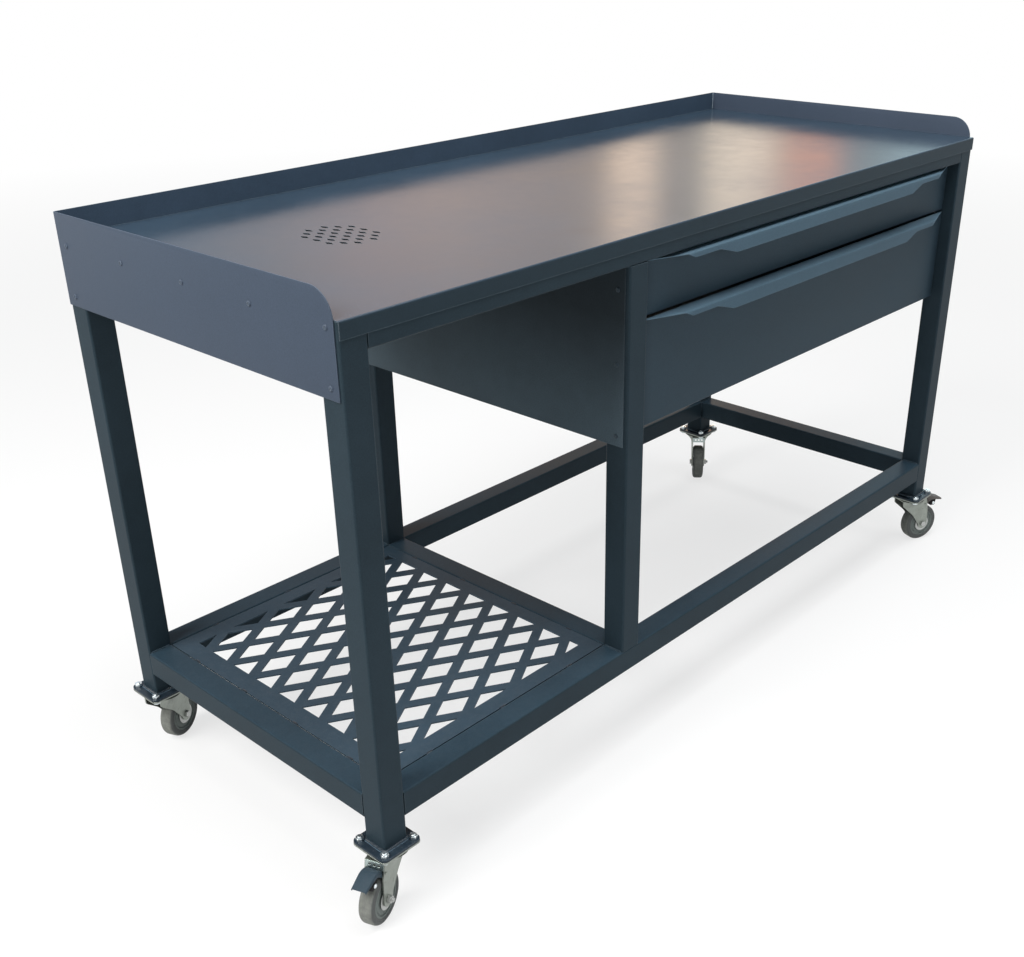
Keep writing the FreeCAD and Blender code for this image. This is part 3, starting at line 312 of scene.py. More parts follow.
def coordinate(tree, vector, axis="Z"):
    """One coordinate of a vector."""
    return node(tree, "ShaderNodeSeparateXYZ", {0: vector}).outputs[axis]


def object_place(tree):
    """The shaded point, in metres from the object's origin."""
    return node(tree, "ShaderNodeTexCoord").outputs["Object"]


def mark_value(tree, label):
    """The number that a mesh stores under a label."""
    return node(tree, "ShaderNodeAttribute", attribute_name=label).outputs["Fac"]


def empty_tree(owner):
    """The emptied shader tree of a material or a world."""
    owner.use_nodes = True
    owner.node_tree.nodes.clear()
    return owner.node_tree


def new_group(name, inputs):
    """Starts a shader node group whose outputs are colour, roughness and height. An input with four
    parts is a colour, any other a value."""
    group = bpy.data.node_groups.new(name, "ShaderNodeTree")
    for label, value in inputs.items():
        kind = "NodeSocketColor" if isinstance(value, tuple) else "NodeSocketFloat"
        group.interface.new_socket(name=label, in_out="INPUT", socket_type=kind).default_value = value
    for label, kind in (("Color", "NodeSocketColor"), ("Roughness", "NodeSocketFloat"),
                        ("Height", "NodeSocketFloat")):
        group.interface.new_socket(name=label, in_out="OUTPUT", socket_type=kind)
    start = group.nodes.new("NodeGroupInput")
    end = group.nodes.new("NodeGroupOutput")
    return group, start.outputs, end.inputs


def powder_group():
    """Baked powder coat: fine pebbled skin, slow drift of tone, edges paler partly by thinner paint and
    partly by a painted highlight, and dust on upward faces."""
    group, given, result = new_group(
        "powder_coat", {"Coat": (0.03, 0.04, 0.05, 1), "Drift": 0.12, "Pebble": 420.0, "Rough": 0.45,
                        "Edge": 0.3, "Dust": 0.05})
    place = object_place(group)
    normal = node(group, "ShaderNodeNewGeometry").outputs["Normal"]
    pebbles = noise(group, place, given["Pebble"], 2.0)
    slow = noise(group, place, 5.0)
    cloud = noise(group, place, 37.0, 4.0)
    drift = sums(group, "ADD", times(group, slow, 0.7), times(group, cloud, 0.3))
    drift = stretched(group, drift, 0.3, 0.7, -1.0, 1.0)
    tone = sums(group, "MULTIPLY_ADD", drift, given["Drift"], 1.0)
    tone = times(group, tone, stretched(group, pebbles, 0.3, 0.7, 0.9, 1.1))
    # Edges blend to a pale colour: partly thinner paint, partly a painted highlight along the edges.
    round_edge = node(group, "ShaderNodeBevel", {"Radius": 0.0012}, samples=4)
    bend = node(group, "ShaderNodeVectorMath", {0: round_edge.outputs[0], 1: normal},
                operation="DOT_PRODUCT").outputs["Value"]
    worn = times(group, stretched(group, bend, 0.995, 0.9), given["Edge"])
    edges_worn_and_highlighted = blended(group, worn, toned(group, given["Coat"], tone), (0.16, 0.2, 0.23, 1))
    lying = stretched(group, coordinate(group, normal), 0.6, 1.0)
    specks = stretched(group, noise(group, place, 90.0, 5.0, 0.7), 0.45, 0.75)
    lying = times(group, lying, specks, given["Dust"])
    dusty = blended(group, lying, edges_worn_and_highlighted, (0.42, 0.4, 0.37, 1))
    group.links.new(dusty, result["Color"])
    rough = sums(group, "MULTIPLY_ADD", drift, 0.05, given["Rough"])
    rough = sums(group, "ADD", rough, times(group, lying, 0.8), clamp=True)
    group.links.new(rough, result["Roughness"])
    group.links.new(pebbles, result["Height"])
    return group


def metal_group():
    """Zinc plating: soft cloudy patches, fine grain and duller spots."""
    group, given, result = new_group(
        "zinc_plate", {"Metal": (0.5, 0.52, 0.5, 1), "Cloud": 0.2, "Rough": 0.35})
    place = object_place(group)
    cloud = stretched(group, noise(group, place, 60.0, 5.0, 0.6), 0.3, 0.7, -1.0, 1.0)
    fine = noise(group, place, 900.0, 2.0)
    tone = sums(group, "MULTIPLY_ADD", cloud, given["Cloud"], 1.0)
    spots = stretched(group, noise(group, place, 150.0), 0.58, 0.75)
    dulled = blended(group, times(group, spots, 0.35), toned(group, given["Metal"], tone),
                     (0.16, 0.17, 0.15, 1))
    group.links.new(dulled, result["Color"])
    rough = sums(group, "MULTIPLY_ADD", cloud, 0.08, given["Rough"])
    rough = sums(group, "ADD", rough, times(group, spots, 0.2), clamp=True)
    group.links.new(rough, result["Roughness"])
    group.links.new(fine, result["Height"])
    return group


POWDER = powder_group()
METAL = metal_group()


def finish_of(name, group, values, height, specular=0.5, metallic=0.0):
    """Adds a finish whose shader takes colour, roughness and fine relief from a group."""
    FINISH[name] = bpy.data.materials.new(name)
    tree = empty_tree(FINISH[name])
    skin = node(tree, "ShaderNodeGroup", values, node_tree=group, name="skin")
    relief = node(tree, "ShaderNodeBump", {"Height": skin.outputs["Height"], "Strength": height,
                                           "Distance": 0.0005})
    shader = node(tree, "ShaderNodeBsdfPrincipled",
                  {"Base Color": skin.outputs["Color"], "Roughness": skin.outputs["Roughness"],
                   "Normal": relief.outputs[0], "Metallic": metallic,
                   "Specular IOR Level": specular}, name="shader")
    node(tree, "ShaderNodeOutputMaterial", {0: shader.outputs[0]})
    return tree


def powder(name, coat, rough, pebble=420.0, drift=0.12, edge=0.3, dust=0.03, specular=0.1, height=0.3):
    """A powder-coated finish."""
    return finish_of(name, POWDER, {"Coat": (*coat, 1), "Rough": rough, "Pebble": pebble,
                                    "Drift": drift, "Edge": edge, "Dust": dust}, height, specular)


def zinc(name, metal, rough):
    """A zinc-plated finish."""
    return finish_of(name, METAL, {"Metal": (*metal, 1), "Rough": rough, "Cloud": 0.15}, 0.08,
                     metallic=1.0)


def coated(tree, share, colour):
    """Blends the coat of a finish towards a colour."""
    coat = tree.nodes["skin"].inputs["Coat"]
    base = coat.links[0].from_socket if coat.links else tuple(coat.default_value)
    tree.links.new(blended(tree, share, base, (*colour, 1)), coat)


def rubber_finish():
    """Grey rubber, paler and dusty on the tread."""
    tree = powder("grey_rubber", (0.082, 0.087, 0.086), 0.7, pebble=700.0, drift=0.18, edge=0.0,
                  specular=0.25)
    scuffs = stretched(tree, noise(tree, object_place(tree), 120.0, 5.0, 0.65), 0.35, 0.7, 0.45, 1.0)
    share = times(tree, mark_value(tree, "tread"), scuffs)
    worn = blended(tree, share, tree.nodes["skin"].outputs["Color"], (0.205, 0.212, 0.192, 1))
    tree.links.new(worn, tree.nodes["shader"].inputs["Base Color"])


def drawer_finish():
    """The drawers' coat: painted shade towards the left and right edges of a front, beside the legs, and a
    painted highlight along the grip, strongest on its flange top and fold.
    """
    tree = powder("drawer_coat", (0.027, 0.046, 0.062), 0.4, pebble=650.0, drift=0.06, specular=0.06)
    # Painted shade towards the sides of a front, where the legs shade it.
    coated(tree, mark_value(tree, "ends"), (0.01, 0.018, 0.026))
    # Painted highlight along the grip: its flange top, fold and lip.
    coated(tree, mark_value(tree, "handle"), (0.09, 0.15, 0.2))


def frame_finish():
    """The frame's coat: a little paler and bluer on its upward faces, as a painted reflection of light from
    above.
    """
    tree = powder("frame_coat", (0.02, 0.033, 0.043), 0.4, edge=0.5, dust=0.012, specular=0.05)
    normal = node(tree, "ShaderNodeNewGeometry").outputs["Normal"]
    # Painted reflection: upward faces are painted paler and bluer.
    coated(tree, stretched(tree, coordinate(tree, normal), 0.5, 0.95), (0.025, 0.046, 0.065))


def partition_finish():
    """The partition's coat: painted shade under the worktop, fading to paler paint towards its lower edge.
    """
    tree = powder("partition_coat", (0.062, 0.088, 0.107), 0.42, specular=0.06)
    rise = coordinate(tree, object_place(tree))
    # Painted shade: darker towards the top, under the worktop.
    coated(tree, stretched(tree, rise, 0.69, 0.92), (0.02, 0.028, 0.034))


def weld_finish():
    """Glossy dark paint over the plates and beads at the feet, with a painted highlight along the outer foot
    of each bead.
    """
    tree = powder("weld_paint", (0.014, 0.024, 0.035), 0.24, drift=0.1, edge=0.15, specular=0.22)
    # Painted highlight along a bead's outer foot.
    coated(tree, mark_value(tree, "toe"), (0.12, 0.19, 0.25))


def worktop_finish():
    """The worktop's coat: smooth and cool where it lies flat, and duller on its fold and its upstand. Its
    colour also carries painted light: a paler, bluer upstand as a painted reflection, a darker fold and
    front as painted shade, and near-black cut walls of the vents as painted shade."""
    tree = powder("worktop_coat", (0.025, 0.042, 0.063), 0.2, pebble=700.0, edge=0.6, height=0.04,
                  dust=0.015)
    place = object_place(tree)
    rise = coordinate(tree, place)
    flat = FLAT * MM
    above = stretched(tree, rise, flat + 0.0002, flat + 0.0012)
    below = stretched(tree, rise, flat - 0.0004, flat - 0.003)
    # Painted reflection: the upstand above the flat is painted paler and bluer.
    coated(tree, above, (0.038, 0.06, 0.091))
    # Painted shade: the fold and the front below the flat are painted darker.
    coated(tree, below, (0.0145, 0.027, 0.037))
    vents = (VENTS[0] * MM, VENTS[1] * MM, 0)
    spread = node(tree, "ShaderNodeVectorMath", {0: place, 1: vents}, operation="SUBTRACT").outputs[0]
    # Painted shade: the cut walls of the vents are painted near black.
    cut = stretched(tree, rise, flat - 0.0001, flat - 0.0005)
    for axis, reach in (("X", 0.08), ("Y", 0.1)):
        away = sums(tree, "ABSOLUTE", coordinate(tree, spread, axis))
        cut = times(tree, cut, stretched(tree, away, reach + 0.004, reach))
    coated(tree, cut, (0.004, 0.005, 0.006))
    off_flat = sums(tree, "MAXIMUM", above, below)
    tree.links.new(stretched(tree, off_flat, 0.0, 1.0, 0.19, 0.42), tree.nodes["skin"].inputs["Rough"])


frame_finish()
worktop_finish()
powder("panel_coat", (0.046, 0.062, 0.09), 0.46, pebble=650.0, drift=0.05)
powder("shelf_coat", (0.034, 0.057, 0.08), 0.4, specular=0.05)
drawer_finish()
powder("tray_coat", (0.05, 0.06, 0.07), 0.45)
# Near-black finish of the sheet under the vents: painted shade seen through them.
powder("near_black_shade_gauze", (0.008, 0.01, 0.012), 0.7, drift=0.05, edge=0.0, dust=0.0, specular=0.05)
zinc("slide_steel", (0.6, 0.62, 0.62), 0.32)
zinc("bright_zinc", (0.68, 0.74, 0.76), 0.3)
zinc("caster_zinc", (0.27, 0.293, 0.266), 0.4)
powder("hub_plastic", (0.14, 0.16, 0.152), 0.5, pebble=500.0, edge=0.1)
rubber_finish()
powder("pedal_coat", (0.028, 0.045, 0.06), 0.5, pebble=500.0, edge=0.25)
powder("worn_pedal_coat", (0.1, 0.09, 0.085), 0.5, pebble=500.0, edge=0.25)
partition_finish()
powder("shoe_rubber", (0.012, 0.012, 0.013), 0.6, edge=0.0)
zinc("rail_zinc", (0.4, 0.47, 0.46), 0.33)
zinc("guard_zinc", (0.42, 0.43, 0.42), 0.45)
powder("screw_paint", (0.062, 0.08, 0.112), 0.34, drift=0.04, edge=0.5)
powder("dark_screw_paint", (0.03, 0.045, 0.058), 0.34, drift=0.04, edge=0.5)
weld_finish()
# Pale finish of the corner beads: a painted highlight.
powder("corner_highlight_paint", (0.16, 0.2, 0.24), 0.35, drift=0.1, edge=0.2, specular=0.2)

NODE_FINISH = {
    "leg_": "frame_coat", "rail_": "frame_coat", "worktop": "worktop_coat", "end_panel": "panel_coat",
    "partition_panel": "partition_coat", "end_screws": "screw_paint", "partition_screws": "dark_screw_paint",
    "shelf_plate": "shelf_coat", "shelf_tack": "shelf_coat", "caster_adapter": "frame_coat",
    "foot_weld": "weld_paint", "caster_bolts": "bright_zinc", "caster_top": "caster_zinc",
    "fork_": "caster_zinc", "axle_": "bright_zinc", "thread_guards": "guard_zinc",
    "hub_": "hub_plastic", "tyre_": "grey_rubber", "brake_pedal": "pedal_coat",
    "drawer_front": "drawer_coat", "drawer_tray": "tray_coat", "slide_": "slide_steel",
}


def dress_nodes():
    """Gives each node of the frame its finish through its material slots."""
    for name, made in NODES.items():
        for start, finish in NODE_FINISH.items():
            if name.startswith(start):
                for slot in made.material_slots:
                    slot.material = FINISH[finish]


# Sheet metal.

def side_sheet(name, node_name, radii, steps, finish="panel_coat"):
    """An upright sheet across the bench: a plate over a rectangle whose corners are rounded, from the
    lower front one on round by the rear."""
    low, high = limits(node_name)
    corners = [(low[1], low[2]), (high[1], low[2]), (high[1], high[2]), (low[1], high[2])]
    points, faces = plate(rounded(corners, radii, steps, closed=True), 0, high[0] - low[0], 0.5)
    points = np.stack([low[0] + points[:, 2], points[:, 0], points[:, 1]], 1)
    piece(name, [(points, faces)], "frame", "panel_coat", [node_name], finish, sharp=30)


def drawer_front(level):
    """A folded front. Its section runs back under the front, up its face, out over the grip and down the
    leaning lip. Carried along x, it stops at a length that steps and slopes as the lip is cut."""
    name = "drawer_front_" + level
    low, high = limits(name)
    rise = high[2] - low[2]
    wall, reach, lean, deep, shallow = 1.5, 33.0, 6.0, 23.5, 9.5
    mid = wall / 2
    lip = math.hypot(lean, deep)
    section = [(14, mid), (mid, mid), (mid, rise - mid), (mid - reach, rise - mid),
               (mid - reach - lean, rise - deep)]
    bend = 2.4
    line = rounded(section, bend, steps=6)
    length = run_length(line)
    full = length[-1]
    bent = full - lip
    step_end = full - lip * (1 - shallow / deep)
    top = bent + 0.6 * bend
    half = (high[0] - low[0]) / 2
    lip_end, cut_end = 338, 482
    cut = [(0, full), (lip_end, full), (387, step_end), (464, step_end), (cut_end, top),
           (half, top - reach)]
    cut = rounded(cut, (0, 4, 4, 4, 3, 0), steps=5)
    across = np.unique(np.concatenate([np.linspace(0, lip_end, 12), cut[:, 0],
                                       np.linspace(cut_end, half, 8)]))
    across = np.concatenate([-across[:0:-1], across])
    stop = np.interp(np.abs(across), cut[:, 0], cut[:, 1])
    marks = np.unique(np.concatenate([length, np.linspace(bent + 3, full, 6)]))
    along = np.minimum(marks[None, :], stop[:, None])
    points = np.empty((len(across), len(marks), 3))
    points[..., 0] = (low[0] + high[0]) / 2 + across[:, None]
    points[..., 1] = low[1] + reach + lean + np.interp(along, length, line[:, 0])
    points[..., 2] = low[2] + np.interp(along, length, line[:, 1])
    # Painted highlight on the grip: full on the flange top, a peak at the fold, weaker on the lip.
    flange = np.clip((along - bent + reach) / 3, 0, 1) * np.clip((bent - along) / 3, 0, 1)
    handle = 0.36 * (along > bent - reach) + 0.64 * flange + 0.3 * np.exp(-((along - bent) / 2.2) ** 2)
    # Painted shade over the last 40 mm towards each side of the face, beside the legs.
    ends = 0.9 * np.clip((np.abs(across[:, None]) - half + 40) / 40, 0, 1) ** 1.5 * (along < bent - reach)
    piece("front_" + level, [net(points)], "drawer_" + level, "drawer_coat", [name], sharp=25, thick=wall,
          edge=0.35, values={"handle": handle.ravel(), "ends": ends.ravel()})


def vent_shade_gauze():
    """A near-black woven sheet just under the vents, put there as painted shade so that they read dark:
    strands woven as z = a * sin(p x) * sin(q y).
    """
    x, y = np.meshgrid(np.linspace(-1, 1, 60), np.linspace(-1, 1, 80), indexing="ij")
    z = FLAT - SHEET - 0.8 + 0.3 * np.sin(90 * x) * np.sin(110 * y)
    points = np.stack([VENTS[0] + 68 * x, VENTS[1] + 88 * y, z], -1)
    piece("vent_shade_gauze", [net(points)], "frame", "tray_coat", finish="near_black_shade_gauze", thick=0.6)


# Screws, bolts and welds.

def pan_head(radius, rise):
    """A pan head: height = rise * (1 - (r / radius)^3.2)^0.45, less a recess shaped as a cross."""
    reach = radius * np.array([0, 0.1, 0.18, 0.26, 0.34, 0.42, 0.5, 0.58, 0.68, 0.8, 0.9, 0.96, 1.0])
    angle = np.linspace(0, 2 * np.pi, 48, endpoint=False)
    x = reach[:, None] * np.cos(angle)
    y = reach[:, None] * np.sin(angle)
    height = rise * np.maximum(1 - (reach / radius) ** 3.2, 0)[:, None] ** 0.45
    narrow = np.clip((radius * 0.17 - np.minimum(np.abs(x), np.abs(y))) / (radius * 0.07), 0, 1)
    short = np.clip((radius * 0.56 - np.maximum(np.abs(x), np.abs(y))) / (radius * 0.12), 0, 1)
    points = np.stack([x, y, height - 0.62 * rise * narrow * short], -1)
    return net(points, ring_columns=True)


def screws(name, node_name, places, panel, outwards, finish):
    """Pan heads on the outer face of a sheet, each turned a little differently."""
    low, high = limits(panel)
    face = high[0] if outwards > 0 else low[0]
    skins = []
    for number, (back, up) in enumerate(places):
        turn = 0.7 + 1.9 * number
        skins.append(placed(pan_head(SCREW, 2.25), (face, back, up),
                            (0, math.cos(turn), math.sin(turn)), (outwards, 0, 0)))
    piece(name, skins, "frame", "bright_zinc", [node_name], finish, sharp=50)


def all_screws():
    """The screws of the end panels and of the partition."""
    legs = [middle("leg_front_left")[1], middle("leg_rear_left")[1]]
    span = (legs[1] - legs[0]) / 4
    low, high = limits("end_screws_left")
    places = [(legs[0] + span * step, high[2] - SCREW) for step in range(5)]
    places += [(back, low[2] + SCREW) for back in legs]
    for side, outwards in (("left", -1), ("right", 1)):
        screws("panel_screws_" + side, "end_screws_" + side, places, "end_panel_" + side, outwards,
               "screw_paint")
    low, high = limits("partition_screws")
    rows = np.linspace(low[2] + SCREW, high[2] - SCREW, 3)
    screws("divider_screws", "partition_screws", [(back, up) for back in legs for up in rows],
           "partition_panel", -1, "dark_screw_paint")


def thread(length):
    """An M8 thread as a turned profile: the radius saws between root and crest."""
    pitch = 1.25
    levels = np.arange(0, length, pitch / 2)
    saw = np.where(np.arange(len(levels)) % 2 == 0, BOLT, BOLT - 0.55)
    profile = [(0, 0)] + list(zip(levels, saw)) + [(length, BOLT - 0.8), (length, 0)]
    return upright(turned(profile, 24))


def hexagon_head(depth, top=0.0):
    """An M8 head or nut on its face: bevelled corners, and a crown that rises in its middle."""
    reach = FLATS / 2 * 1.155
    return hexagon_bar(FLATS, [(0, 0), (0, reach * 0.9), (0.35, reach), (depth - 0.9, reach),
                               (depth - 0.35, reach * 0.96), (depth, reach * 0.86),
                               (depth + top, reach * 0.5), (depth + top, 0)])


def foot_bolts():
    """Sixteen bolts: head below the caster's plate, nut and thread end above the adapter plate."""
    head_face = limits("caster_bolts")[0][2] + 5.3
    nut_face = limits("foot_weld_beads")[0][2]
    skins = []
    for corner in CORNERS:
        leg = middle("leg_" + corner)
        for way in (-BOLT_REACH, BOLT_REACH):
            for turn in (-BOLT_REACH, BOLT_REACH):
                x, y = leg[0] + way, leg[1] + turn
                spin = 0.4 * np.sign(way * turn) + leg[0] * 0.01 + turn * 0.03
                along = (math.cos(spin), math.sin(spin), 0)
                skins.append(placed(hexagon_head(6.5), (x, y, nut_face), along))
                skins.append(placed(hexagon_head(5.0, 0.3), (x, y, head_face), along, (0, 0, -1)))
                skins.append(placed(thread(8.5), (x, y, nut_face), along))
    piece("foot_bolts", skins, "frame", "bright_zinc", ["caster_bolts"], sharp=32)


def square_line(half, radius):
    """A closed square with round corners, drawn anticlockwise about its middle."""
    return rounded([(half, -half), (half, half), (-half, half), (-half, -half)], radius, 8, True)


def foot_welds():
    """Rippled beads round the leg feet: a fillet section carried round the tube, whose leg length
    swells and shrinks along the path like overlapping drops."""
    node_name = "foot_weld_beads"
    floor_z = limits(node_name)[0][2]
    line = square_line(TUBE_HALF, 4)
    closed = np.concatenate([line, line[:1]])
    length = run_length(closed)
    marks = np.linspace(0, length[-1], 420, endpoint=False)
    path = np.stack([np.interp(marks, length, closed[:, 0]), np.interp(marks, length, closed[:, 1])], 1)
    ahead = np.roll(path, -1, 0) - np.roll(path, 1, 0)
    ahead /= np.linalg.norm(ahead, axis=1, keepdims=True)
    outward = np.stack([ahead[:, 1], -ahead[:, 0]], 1)
    drop = 1 - 0.14 * np.abs(np.sin(np.pi * marks / (length[-1] / 70)))
    drop *= 1 - 0.08 * (1 + np.sin(marks * 0.13))
    angle = np.linspace(0, np.pi / 2, 8)
    out = 5.2 * np.cos(angle) ** 1.25
    rise = 4.4 * np.sin(angle) ** 1.25
    # Painted highlight on the outer foot of each bead: strongest on the two outermost rings of its section.
    toe = np.tile([1.0, 0.75, 0.1, 0, 0, 0, 0, 0, 0], len(marks) * len(CORNERS))
    skins = []
    for corner in CORNERS:
        leg = middle("leg_" + corner)
        points = np.empty((len(marks), len(angle) + 1, 3))
        points[:, :-1, 0] = leg[0] + path[:, :1] + outward[:, :1] * drop[:, None] * out
        points[:, :-1, 1] = leg[1] + path[:, 1:] + outward[:, 1:] * drop[:, None] * out
        points[:, :-1, 2] = floor_z + drop[:, None] * rise
        points[:, -1, :2] = leg[:2] + path - outward * 0.3
        points[:, -1, 2] = floor_z
        skins.append(net(points, ring_rows=True, ring_columns=True))
    piece("foot_beads", skins, "frame", "frame_coat", [node_name], "weld_paint", sharp=60,
          values={"toe": toe})


def seam_bead(start, end, side_a, side_b, size=2.6):
    """A bead in an inner corner: a quarter-round section between two faces, rippled along its run."""
    start, end = np.array(start, float), np.array(end, float)
    run = end - start
    length = np.linalg.norm(run)
    count = max(8, int(length * 1.6))
    share = np.linspace(0, 1, count)
    taper = np.clip(np.minimum(share, 1 - share) * length / 1.5, 0.25, 1)
    drop = size * taper * (1 - 0.16 * np.abs(np.sin(np.pi * share * length / 2.4)))
    angle = np.linspace(0, np.pi / 2, 6)
    side_a, side_b = np.array(side_a, float), np.array(side_b, float)
    ring = np.cos(angle)[:, None] ** 1.2 * side_a + np.sin(angle)[:, None] ** 1.2 * side_b
    ring = np.concatenate([ring, -0.12 * (side_a + side_b)[None]])
    points = start + share[:, None, None] * run + drop[:, None, None] * ring[None]
    return net(points, ring_columns=True, caps=True)


# Casters. Each is drawn about its swivel axis, with x along the trail, and then turned into place.

def caster_place(corner):
    """The swivel axis at floor level, and the direction from it to the wheel."""
    leg = middle("leg_" + corner)
    wheel = middle("tyre_" + corner)
    way = wheel - leg
    way[2] = 0
    return np.array([leg[0], leg[1], 0]), way / np.linalg.norm(way)


def fork(corner):
    """A pressed fork. Each cheek spans from its leading to its trailing edge and runs from the crown
    to the axle; near the top it flares out to the round crown. A slotted bridge joins their backs."""
    origin, way = caster_place(corner)
    top, axle_x, axle_z, end = 128.0, TRAIL, AXLE_Z, 14.0
    wall = 2.5
    mid = wall / 2
    front = rounded([(-34, top), (-33, 113), (2, 82), (axle_x - end, axle_z)], (0, 8, 45, 0), steps=10)
    back = rounded([(43, top), (52, 90), (axle_x + end, axle_z)], (0, 50, 0), steps=8)
    upper = np.concatenate([top - mid - 14 * np.linspace(0, 1, 12) ** 1.3, np.linspace(108, axle_z, 22)])
    lower = axle_z - end * np.sin(np.linspace(0, np.pi / 2, 9)[1:])
    levels = np.concatenate([upper, lower])
    lead = np.interp(-levels, -front[:, 1], front[:, 0])
    trail = np.interp(-levels, -back[:, 1], back[:, 0])
    low = levels < axle_z
    bow = np.sqrt(np.maximum(end ** 2 - (axle_z - levels[low]) ** 2, 0))
    lead[low], trail[low] = axle_x - bow, axle_x + bow
    share = (1 - np.cos(np.linspace(0, np.pi, 17))) / 2
    x = lead[:, None] + share * (trail - lead)[:, None]
    crown = np.sqrt(np.maximum(36.5 ** 2 - np.minimum(np.abs(x), 36) ** 2, 0))
    flare = np.clip((levels - 98) / (top - mid - 98), 0, 1)[:, None] ** 2.2
    y = 17.75 + flare * np.maximum(crown - 17.75, 0)
    z = np.repeat(levels[:, None], len(share), 1)
    cheek = np.stack([x, y, z], -1)
    other = cheek * (1, -1, 1)
    lid = np.linspace(cheek[0], other[0], 15)
    points, faces = net(np.linspace(cheek[:11, -1], other[:11, -1], 17))
    slotted = [face for number, face in enumerate(faces)
               if number // 10 not in (3, 4, 7, 8, 11, 12) or number % 10 not in (4, 5, 6)]
    skins = [placed(skin, origin, way) for skin in (net(cheek), net(other), net(lid))]
    body = "fork_body_" + corner
    piece("fork_shell_" + corner, skins, body, "caster_zinc", ["fork_" + corner], sharp=40, thick=wall,
          edge=0.4)
    piece("fork_bridge_" + corner, [placed((points, slotted), origin, way)], body, "caster_zinc",
          finish="rail_zinc", sharp=40, thick=2.3, edge=0.3)
    ring = placed(upright(turned([(127, 30.9), (128.8, 30.9), (129.1, 30.2), (129.1, 8), (127, 8)], 64)),
                  origin, way)
    piece("fork_race_" + corner, [ring], body, "caster_zinc")


def wheel_place(corner):
    """The middle of a wheel and the direction of its axle."""
    origin, way = caster_place(corner)
    centre = origin + way * TRAIL
    centre[2] = middle("tyre_" + corner)[2]
    return centre, np.array([-way[1], way[0], 0])


def tyre(corner):
    """A tyre turned about the axle: flat tread, round shoulders, a shallow groove beside its seat."""
    centre, axle = wheel_place(corner)
    half = 14.5
    line = [(-half + 1, 36), (-half, 38), (-half, 39.4), (-half + 0.5, 40), (-half, 40.8), (-half, 43.2),
            (-half + 2.2, 47.2), (-half + 5.5, 48.9), (0, 49)]
    line = rounded(line, (0, 1, 0.5, 0.5, 0.5, 4, 3, 6, 0), steps=4)
    line = np.concatenate([line, line[-2::-1] * (-1, 1)])
    points, faces = turned(line, 96)
    tread = np.clip((np.hypot(points[:, 1], points[:, 2]) - 46.5) / 1.5, 0, 1)
    skin = placed((points, faces), centre, axle)
    piece("rubber_" + corner, [skin], "wheel_body_" + corner, "grey_rubber", ["tyre_" + corner], sharp=50,
          values={"tread": tread})


def hub(corner):
    """A moulded hub: rim, closed web with a shallow groove beside the rim, and boss."""
    centre, axle = wheel_place(corner)
    half = [(-13.2, 36), (-13.5, 35.4), (-13.5, 33), (-13, 32.4), (-11.4, 31.6), (-11, 30.6),
            (-11, 29.6), (-11.6, 28.8), (-12.2, 28), (-12.4, 23), (-12.4, 13), (-15, 11.6), (-15.3, 11),
            (-15.3, 4.1)]
    half = rounded(half, 0.4, steps=2)
    line = np.concatenate([half, half[::-1] * (-1, 1)])
    skin = placed(turned(line, 72), centre, axle)
    piece("moulded_hub_" + corner, [skin], "wheel_body_" + corner, "hub_plastic", ["hub_" + corner],
          sharp=40)


def thread_guards(corner):
    """Two pressed discs beside the hub, dished and rolled at the rim."""
    centre, axle = wheel_place(corner)
    skins = []
    for side in (-1, 1):
        line = [(side * 16.4, 4.1), (side * 16.4, 12), (side * 15.9, 14), (side * 15.9, 19.4),
                (side * 16.2, 20.6), (side * 15.7, 21), (side * 15.5, 20.4), (side * 15.5, 4.1)]
        line = rounded(line, 0.3, steps=2)
        skins.append(placed(turned(np.concatenate([line, line[:1]]), 72), centre, axle))
    piece("guard_discs_" + corner, skins, "fork_body_" + corner, "caster_zinc",
          ["thread_guards_" + corner], "guard_zinc", sharp=50)


def axle(corner):
    """An axle bolt: head on one cheek, nut and thread end on the other, where the CAD bolt is longer."""
    centre, axle_way = wheel_place(corner)
    way = axle_way * np.sign((middle("axle_" + corner) - centre) @ axle_way)
    outside = 19.0
    nut = placed(hexagon_head(6.5), centre + way * outside, (0, 0, 1), way)
    end = placed(thread(10.6), centre + way * outside, (0, 0, 1), way)
    head = placed(hexagon_head(5.0, 0.2), centre - way * outside, (0, 0, 1), -way)
    shank = placed(turned([(-outside, 0), (-outside, 3.95), (outside, 3.95), (outside, 0)], 24), centre, way)
    piece("axle_bolt_" + corner, [nut, end, head, shank], "fork_body_" + corner, "bright_zinc",
          ["axle_" + corner], "guard_zinc", sharp=32)


